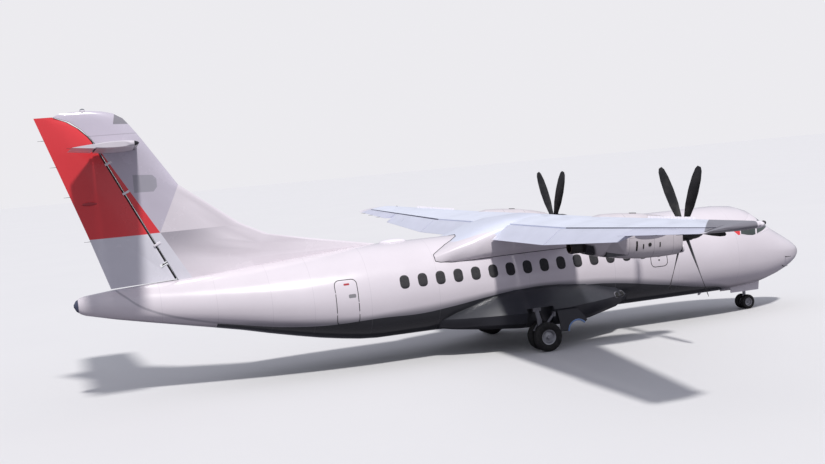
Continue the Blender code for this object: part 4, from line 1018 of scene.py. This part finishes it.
# Station, radius, tyre width, spacing of the pair, rim radius, axle radius
MAIN_WHEEL = (9.86, 0.405, 0.22, 0.42, 0.20, 0.035)
NOSE_WHEEL = (2.00, 0.225, 0.165, 0.31, 0.115, 0.022)
TRACK = 4.10
for label, wheel, y0, body in (("nose", NOSE_WHEEL, 0.0, "nose_wheels"),
                               ("main_left", MAIN_WHEEL, TRACK / 2, "main_wheels_left"),
                               ("main_right", MAIN_WHEEL, -TRACK / 2, "main_wheels_right")):
    station, radius, wide, spacing, rim, axle = wheel
    for half, out in (("left", 1), ("right", -1)):
        centre = spot(station, y0 + out * spacing / 2, radius)
        ring = tyre(f"{label}_tyre_{half}_round", centre, rim, radius - 0.0015, wide)
        finish(ring, body, "tyre_rubber", tyre_rubber, smooth=40)
        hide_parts(f"{label}_tyre_{half}")
        disc = wheel_rim(f"{label}_wheel_{half}", centre, rim, wide, out)
        finish(disc, body, "wheel_alloy", wheel_metal, opening_shade_black, smooth=30)
        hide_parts(f"{label}_rims")
        axle_end = bar(f"{label}_axle_{half}", spot(station, y0, radius),
                       spot(station, y0 + out * spacing / 2, radius), axle, steps=20)
        finish(axle_end, body, "wheel_alloy", bare_metal)
        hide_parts(f"{label}_rims")


# Wing: vortex generators, tip lamps and flap track fairings, and wicks on the ailerons and elevators

DOWN = (0, 0, -1)
UP = (0, 0, 1)


def planted(piece, target, station, y):
    """Stands a piece that was made about the origin on top of a skin."""
    place, out = seen_from(target, station, y, 6.0, DOWN)
    turn = Vector(UP).rotation_difference(out).to_matrix().to_4x4()
    piece.data.transform(Matrix.Translation(place) @ turn)
    return piece


def trailing_point(target, out):
    """A point on the straight trailing edge of a surface, at a distance from the centre line."""
    ends = [v.co for v in target.data.vertices]
    near, far = min(abs(co.y) for co in ends), max(abs(co.y) for co in ends)
    first = min((co for co in ends if abs(co.y) < near + 0.1), key=lambda co: co.x)
    last = min((co for co in ends if abs(co.y) > far - 0.1), key=lambda co: co.x)
    return first.lerp(last, (out - abs(first.y)) / (abs(last.y) - abs(first.y)))


def wick(root):
    """A static discharger on a trailing edge."""
    return bar("wick", root + Vector((0.03, 0, 0)), root + Vector((-0.16, 0, 0)), 0.006, 0.003, steps=8)


VANE_COUNT = 14
VANE_FIRST = 6.8
VANE_PITCH = 0.2
VANE_BACK = 0.30                # behind the leading edge
WING_JOINT = 4.9                # the wing centre section ends here
TRACK_STATION = 9.55
# Distances out from the centre line of the wicks and of the flap tracks
WICKS = {"aileron": (9.4, 10.4, 11.4), "elevator": (2.2, 2.8, 3.4)}
FLAP_TRACKS = (2.55, 5.35, 7.75)
# A place just ahead of the tip's front corner: station, distance out, height
TIP_FRONT = (9.2, 12.08, 3.80)
for side, sign in SIDES:
    wing = skins[f"wing_outer_{side}"]
    fins = []
    for k in range(VANE_COUNT):
        y = VANE_FIRST + VANE_PITCH * k
        station = WING_LEAD + WING_SWEEP * (y - KINK_Y) + VANE_BACK
        vane = block("vane", (-0.045, -0.006, -0.005), (0.045, 0.006, 0.050), 0.003)
        fins.append(planted(vane, wing, station, sign * y))
    vanes = together(fins, f"vortex_vanes_{side}")
    finish(vanes, "airframe", "surface_composite", white_paint)
    for kind, places in WICKS.items():
        name = f"{kind}_{side}"
        wicks = [wick(trailing_point(skins[name], y)) for y in places]
        finish(together(wicks, f"{name}_wicks"), name, "black_blade_composite", seal_rubber)
    station, out, height = TIP_FRONT
    _, lead, _, _ = skins[f"wing_tip_{side}"].closest_point_on_mesh(spot(station, sign * out, height))
    lamp = dome(f"tip_lamp_{side}", lead + Vector((-0.10, 0, 0)), (0.16, 0.13, 0.075), rings=16)
    finish(lamp, "airframe", "surface_composite", white_paint, smooth=60)
    nub = dome(f"tip_nub_{side}", lead + Vector((0.055, 0, 0.02)), (0.05, 0.05, 0.045))
    finish(nub, "airframe", "black_blade_composite", seal_rubber, smooth=60)
    tracks = []
    for y in FLAP_TRACKS:
        skin = wing if y > WING_JOINT else skins["wing_centre"]
        place, _ = seen_from(skin, TRACK_STATION, sign * y, 2.0, UP)
        tracks.append(dome("track", place + Vector((0, 0, -0.02)), (0.42, 0.055, 0.095), 20, 14))
    finish(together(tracks, f"flap_tracks_{side}"), "airframe", "surface_composite", white_paint, smooth=60)


# Nacelles: intake lip, a throat and vents drawn as black sheets of painted shade, and the sooted exhaust
# shell

ENGINE_Y = 4.05
# Station, height, width, tallness and corner of each opening in the cowl
COWL_VENTS = ((8.14, 2.84, 0.05, 0.26, 0.02), (7.95, 2.81, 0.035, 0.13, 0.015),
              (7.45, 2.81, 0.035, 0.13, 0.015), (7.76, 2.84, 0.10, 0.10, 0.045))
COWL_SLOT = 7.95
# The intake's station, its mouth as distances across and heights, and the throat, a black sheet of painted
# shade, given as the vents are
INTAKE = 6.62
INTAKE_MOUTH = ((0.0, 2.50), (0.15, 2.515), (0.205, 2.56), (0.205, 2.66), (0.15, 2.715), (0.0, 2.725),
                (-0.15, 2.715), (-0.205, 2.66), (-0.205, 2.56), (-0.15, 2.515), (0.0, 2.50))
THROAT = (6.64, 2.612, 0.36, 0.19, 0.08)
# The exhaust's station and height, and its shell as radii and distances aft
EXHAUST = (9.52, 2.965)
EXHAUST_SHELL = ((0.168, 0.0), (0.176, 0.10), (0.174, 0.30), (0.163, 0.33), (0.150, 0.32), (0.146, 0.05))
for side, sign in SIDES:
    skin = skins[f"nacelle_{side}"]
    vents = []
    for station, height, wide, tall, corner in COWL_VENTS:
        for face in (1, -1):
            vent = plate("vent", station, height, wide, tall, corner, face, out=0.8)
            vent.data.transform(Matrix.Translation((0, sign * ENGINE_Y, 0)))
            across_cuts(vent, height - tall / 2, height + tall / 2, 6)
            lay(vent, skin, face, 0.003, lift=0.004)
            vents.append(vent)
    finish(together(vents, f"cowl_vents_{side}"), "airframe", "exhaust_metal", opening_shade_black)
    lip = tube(f"intake_lip_{side}", [spot(INTAKE, sign * ENGINE_Y + y, z) for y, z in INTAKE_MOUTH], 0.026)
    finish(lip, "airframe", "surface_composite", white_paint, smooth=60)
    throat = plate(f"intake_throat_{side}", *THROAT, 1, out=0.0)
    to_nacelle = Matrix.Translation(spot(THROAT[0], sign * ENGINE_Y, 0))
    throat.data.transform(to_nacelle @ Matrix.Rotation(math.pi / 2, 4, "Z")
                          @ Matrix.Translation(-spot(THROAT[0], 0, 0)))
    shape(throat, "SOLIDIFY", thickness=0.01, offset=0.0)
    finish(throat, "airframe", "exhaust_metal", opening_shade_black)
    shell = turned(f"exhaust_shell_{side}", EXHAUST_SHELL, spot(EXHAUST[0], sign * ENGINE_Y, EXHAUST[1]),
                   (-1, 0, 0), steps=48)
    finish(shell, "airframe", "exhaust_metal", exhaust_soot)
    slot = block(f"cowl_slot_{side}", (-0.10, -0.02, -0.01), (0.10, 0.02, 0.012), 0.005)
    planted(slot, skin, COWL_SLOT, sign * ENGINE_Y)
    finish(slot, "airframe", "exhaust_metal", opening_shade_black)


# Tail: beacon, brackets, wicks and the actuator blisters

BEACON = 21.45
BEHIND = 24.0                   # a station behind the tail, to look forward from
RUDDER_SLOPE = 24               # degrees that the hinge line leans aft
RUDDER_WICKS = (4.2, 5.4, 6.2, 6.9)
# Station and height of each bracket, on the hinge line, and of the blisters
BRACKETS = ((21.08, 6.20), (20.71, 5.40), (20.05, 3.97))
BLISTER = (21.50, 5.18)

fin_top, _ = seen_from(skins["fin"], BEACON, 0.0, 9.0, DOWN)
lamp_base = bar("fin_beacon_base", fin_top + Vector((0, 0, -0.02)), fin_top + Vector((0, 0, 0.03)), 0.075)
finish(lamp_base, "airframe", "tail_composite", white_paint)
lamp_top = dome("fin_beacon", fin_top + Vector((0, 0, 0.028)), (0.065, 0.065, 0.045))
finish(lamp_top, "airframe", "tail_composite", lamp_glass, smooth=60)
brackets = []
for station, z in BRACKETS:
    for face in (1, -1):
        _, place, _, _ = skins["fin"].closest_point_on_mesh(spot(station - 0.15, face * 0.3, z))
        bracket = block("bracket", (-0.115, -0.010, -0.03), (0.08, 0.010, 0.03), 0.006)
        place = place + Vector((0, face * 0.010, 0))
        lean = Matrix.Rotation(math.radians(-RUDDER_SLOPE), 4, "Y")
        bracket.data.transform(Matrix.Translation(place) @ lean)
        brackets.append(bracket)
finish(together(brackets, "rudder_brackets"), "airframe", "tail_composite", white_paint)
blisters = []
for face in (1, -1):
    place, _ = seen_from(skins["rudder"], BLISTER[0], face * 2.0, BLISTER[1], (0, -face, 0))
    blisters.append(dome("blister", place, (0.20, 0.035, 0.045)))
finish(together(blisters, "rudder_blisters"), "rudder", "red_composite", warning_red, smooth=60)
wicks = []
for z in RUDDER_WICKS:
    place, _ = seen_from(skins["rudder"], BEHIND, 0.0, z, (1, 0, 0))
    wicks.append(wick(place))
finish(together(wicks, "rudder_wicks"), "rudder", "black_blade_composite", seal_rubber)


# Fuselage: roof lens and bumps, lower aerial, probes, and fittings of the service door and the exit

ROOF_LENS = (13.40, 3.325)
ROOF_BUMPS = (14.9, 15.1, 15.3)
AERIAL = 3.57
AERIAL_LONG = 0.16
AERIAL_TALL = 0.12
PROBES = ((0.98, 1.57), (1.07, 1.30))
# Small plates on the right side: name, station, height, width, tallness, corner, thickness, slot and look
SMALL_PLATES = (
    ("service_door_release", 15.18, 2.42, 0.16, 0.05, 0.0225, 0.004, "red_composite", warning_red),
    ("exit_release", 5.745, 2.03, 0.05, 0.05, 0.0225, 0.004, "charcoal_paint", seal_rubber),
    ("service_door_handle", 15.06, 2.10, 0.20, 0.10, 0.03, 0.003, "charcoal_paint", lining),
)

roof_lens = dome("roof_lens", spot(ROOF_LENS[0], 0.0, ROOF_LENS[1]), (0.40, 0.20, 0.09))
finish(roof_lens, "airframe", "white_paint", white_paint, smooth=60)
for k, station in enumerate(ROOF_BUMPS):
    bump = dome(f"roof_bump_{k}", spot(station, 0.0, read(FUSELAGE, station, 2)), (0.06, 0.04, 0.035))
    finish(bump, "airframe", "white_paint", white_paint, smooth=60)


def lower_aerial():
    """A swept blade aerial: a block whose far face is drawn aft and narrowed, hung under the keel."""
    piece = start("lower_aerial", bpy.ops.mesh.primitive_cube_add, size=1.0,
                  scale=(AERIAL_LONG, 0.03, AERIAL_TALL))
    piece.data.transform(Matrix.Translation((0, 0, AERIAL_TALL / 2 - 0.02)))
    pick(piece, "FACE", lambda face: face.normal.z > 0.9)
    bpy.ops.transform.resize(value=(0.45, 0.5, 1.0), center_override=(0, 0, AERIAL_TALL))
    bpy.ops.transform.translate(value=(-0.4 * AERIAL_LONG, 0, 0))
    bpy.ops.mesh.select_all(action="SELECT")
    bpy.ops.mesh.bevel(offset=0.008, segments=2)
    done()
    tidy(piece)
    piece.data.transform(Matrix.Diagonal((1, 1, -1, 1)))
    piece.data.flip_normals()
    piece.data.transform(Matrix.Translation(spot(AERIAL, 0, read(FUSELAGE, AERIAL, 3))))
    finish(piece, "airframe", "white_paint", white_paint)


lower_aerial()
probes = []
for station, height in PROBES:
    for face in (1, -1):
        place, out = seen_from(form, station, face * 3.0, height, (0, -face, 0))
        probes.append(bar("probe_foot", place - out * 0.01, place + out * 0.055, 0.014))
        probes.append(bar("probe", place + out * 0.05 + Vector((-0.03, 0, 0)),
                          place + out * 0.055 + Vector((0.14, 0, 0)), 0.012, 0.006))
finish(together(probes, "nose_probes"), "airframe", "gear_steel", seal_rubber)
for name, station, height, wide, tall, corner, thick, slot, look in SMALL_PLATES:
    sheet = plate(name, station, height, wide, tall, corner, -1)
    lay(sheet, form, -1, thick)
    finish(sheet, "airframe", slot, look)


# Seams where the fairings meet the fuselage

def seam(name, node_name, radius, look):
    """A bead along the edge where a fairing's skin runs into the fuselage."""
    piece = again(skins[node_name], name)
    near = [form.closest_point_on_mesh(v.co)[1] for v in piece.data.vertices]
    touching = [(a - v.co).length < 0.03 for a, v in zip(near, piece.data.vertices)]
    seats = {face.index for face in piece.data.polygons if all(touching[k] for k in face.vertices)}
    edges = {}
    for face in piece.data.polygons:
        for key in face.edge_keys:
            edges.setdefault(key, []).append(face.index)
    chosen = {key for key, owners in edges.items()
              if touching[key[0]] and touching[key[1]] and sum(owner in seats for owner in owners) == 1}
    pick(piece, "EDGE", lambda part: tuple(sorted(v.index for v in part.verts)) not in chosen)
    bpy.ops.mesh.delete(type="EDGE_FACE")
    done()
    pick(piece, "VERT", lambda part: not part.link_edges)
    bpy.ops.mesh.delete(type="VERT")
    done()
    only(piece)
    bpy.ops.object.convert(target="CURVE")
    piece = bpy.context.object
    piece.data.bevel_depth = radius
    piece.data.bevel_resolution = 2
    bpy.ops.object.convert(target="MESH")
    finish(bpy.context.object, "airframe", "charcoal_paint", look, smooth=60)


seam("wing_fairing_seam", "wing_root_fairing", 0.012, seal_rubber)
seam("belly_fairing_seam", "gear_fairing", 0.014, belly_finish)


# Outlets of the belly fairing: a mouth of black painted shade in a grey rim

OUTLET = (7.20, 1.20)
# Name, width, tallness, distance off the skin, and look
OUTLET_SHEETS = (("outlet_rim", 0.42, 0.16, 0.004, grey_enamel_and_shade),
                 ("outlet_mouth", 0.36, 0.11, 0.012, opening_shade_black))
for side, sign in SIDES:
    station, height = OUTLET
    for name, wide, tall, lift, look in OUTLET_SHEETS:
        sheet = plate(f"{name}_{side}", station, height, wide, tall, 0.45 * tall, sign, out=2.6)
        across_cuts(sheet, height - tall / 2, height + tall / 2, 5)
        lay(sheet, skins["gear_fairing"], sign, 0.012, lift)
        finish(sheet, "airframe", "charcoal_paint", look)


# Main gear: plated piston, torque links, brakes, hoses, and the lip of the doors, pale blue as a painted sky
# reflection

# Stations and heights of the bare piston's two ends and of the torque links' three pins
PISTON = ((9.965, 0.66), (9.915, 0.53))
LINK_PINS = ((10.06, 0.74), (10.16, 0.60), (9.94, 0.50))
# Brakes: distance from the leg to the foot, then radii and distances out from the foot
BRAKE_FOOT = 0.075
BRAKE = ((0.06, 0.0), (0.150, 0.0), (0.156, 0.006), (0.156, 0.045), (0.150, 0.050), (0.06, 0.050))
# Station, distance from the leg and height; the two hoses of a leg run a little apart above their ends
HOSE = ((9.90, 0.07, 1.05), (9.86, 0.10, 0.85), (9.80, 0.09, 0.66))
HOSE_END = (9.84, 0.10, 0.50)
HOSES_APART = 0.02
# Station, height and radius of the rounded edge of each main gear door, and its distance out
MAIN_DOOR_ARC = (8.83, 0.45, 0.29)
MAIN_DOOR_OUT = 2.062


def hose(y0, out, shift):
    """A brake hose down one side of a main leg."""
    points = [spot(station + shift, y0 + out * away, height) for station, away, height in HOSE]
    station, away, height = HOSE_END
    points.append(spot(station, y0 + out * away, height))
    return tube("hose", points, 0.010)


for side, sign in SIDES:
    y0 = sign * TRACK / 2
    high, low = (spot(station, y0, height) for station, height in PISTON)
    sleeve = bar(f"oleo_sleeve_{side}", high, low, 0.058, steps=24)
    finish(sleeve, "airframe", "gear_steel", oleo_chrome)
    upper, knee, lower = (spot(station, y0, height) for station, height in LINK_PINS)
    across = Vector((0, 0.05, 0))
    links = [bar("link", upper, knee, 0.022, 0.016), bar("link", knee, lower, 0.016, 0.022),
             bar("pivot", knee - across, knee + across, 0.018)]
    finish(together(links, f"torque_links_{side}"), "airframe", "gear_steel", grey_enamel_and_shade)
    brakes = [turned("brake", BRAKE, spot(MAIN_WHEEL[0], y0 + out * BRAKE_FOOT, MAIN_WHEEL[1]), (0, out, 0))
              for out in (1, -1)]
    finish(together(brakes, f"brakes_{side}"), "airframe", "gear_steel", cast_casing)
    hoses = [hose(y0, 1, 0.0), hose(y0, -1, HOSES_APART)]
    finish(together(hoses, f"brake_hoses_{side}"), "airframe", "tyre_rubber", seal_rubber, smooth=60)
    station, height, radius = MAIN_DOOR_ARC
    arc = []
    for degrees in range(140, -1, -20):
        angle = math.radians(degrees)
        arc.append(spot(station + radius * math.cos(angle), sign * MAIN_DOOR_OUT,
                        height + radius * math.sin(angle)))
    # The lip's pale blue is a painted reflection of the sky on the door's flared edge
    lip = tube(f"door_lip_{side}", arc, 0.028)
    finish(lip, "airframe", "charcoal_paint", sky_reflection_blue, smooth=60)


# Taxi lamps on the nose leg: station, distance out and height, and the cup as radii and distances ahead

TAXI_LAMP = (1.90, 0.11, 0.80)
LAMP_CUP = ((0.0, -0.05), (0.03, -0.045), (0.055, -0.01), (0.058, 0.02), (0.052, 0.02), (0.050, 0.008),
            (0.0, 0.008))
LAMP_FACE = 1.894
lamps = []
for out in (1, -1):
    station, away, height = TAXI_LAMP
    cup = turned("cup", LAMP_CUP, spot(station, out * away, height), (1, 0, 0), steps=32)
    for face in cup.data.polygons:
        face.material_index = 1 if face.center.x > NOSE_X - LAMP_FACE and face.normal.x > 0.9 else 0
    stalk = bar("stalk", spot(1.95, out * 0.05, height), spot(1.93, out * 0.10, height), 0.012)
    lamps += [cup, stalk]
finish(together(lamps, "taxi_lamps"), "airframe", "gear_steel", leg_enamel, lamp_glass)


# Floor, light and camera

def studio():
    """Pale matt floor under a soft key from the right and a bright even sky.

    The camera sees the floor and the sky paler than the aircraft does.
    """
    bpy.ops.object.select_all(action="DESELECT")
    bpy.ops.mesh.primitive_plane_add(size=900.0)
    floor = bpy.context.object
    floor.name = "studio_floor"
    look, tree, shader = finish_named("pale_matt_studio_floor", 0.9)
    pale = blend(tree, noise(tree, 1 / 0.15, 3.0), linear("dad9da"), linear("dedddd"))
    seen = node(tree, "LightPath").outputs["Is Camera Ray"]
    tree.links.new(blend(tree, seen, linear("737178"), pale), shader.inputs["Base Color"])
    floor.data.materials.append(look)
    world = bpy.data.worlds.new("studio_sky")
    bpy.context.scene.world = world
    world.use_nodes = True
    tree = world.node_tree
    sky = tree.nodes["Background"]
    seen = node(tree, "LightPath").outputs["Is Camera Ray"]
    tree.links.new(blend(tree, seen, linear("e5e8f6"), linear("f5f4f8")), sky.inputs["Color"])
    strength = mapped(tree, seen, 0.0, 1.0, SKY_POWER, SKY_POWER_SEEN)
    tree.links.new(strength, sky.inputs["Strength"])
    sun = bpy.data.lights.new("soft_key", "SUN")
    sun.energy = KEY_POWER
    sun.angle = math.radians(KEY_SPREAD)
    sun.color = KEY_COLOUR
    key = bpy.data.objects.new("soft_key", sun)
    bpy.context.scene.collection.objects.link(key)
    height = math.radians(KEY_HEIGHT)
    towards_key = Vector((0, -math.cos(height), math.sin(height)))
    key.rotation_euler = towards_key.to_track_quat("Z", "Y").to_euler()
    lens = bpy.data.cameras.new("photo_angle")
    lens.lens = CAMERA_LENS
    lens.sensor_width = 36.0
    lens.clip_end = 2000.0
    camera = bpy.data.objects.new("photo_angle", lens)
    bpy.context.scene.collection.objects.link(camera)
    yaw, down, roll = (math.radians(angle) for angle in CAMERA_TURN)
    camera.matrix_world = (Matrix.Translation(CAMERA_PLACE) @ Matrix.Rotation(yaw, 4, "Z")
                           @ Matrix.Rotation(math.pi / 2 - down, 4, "X") @ Matrix.Rotation(roll, 4, "Z"))
    bpy.context.scene.camera = camera
    bpy.context.scene.view_settings.view_transform = "Standard"


studio()
bpy.data.objects.remove(form)
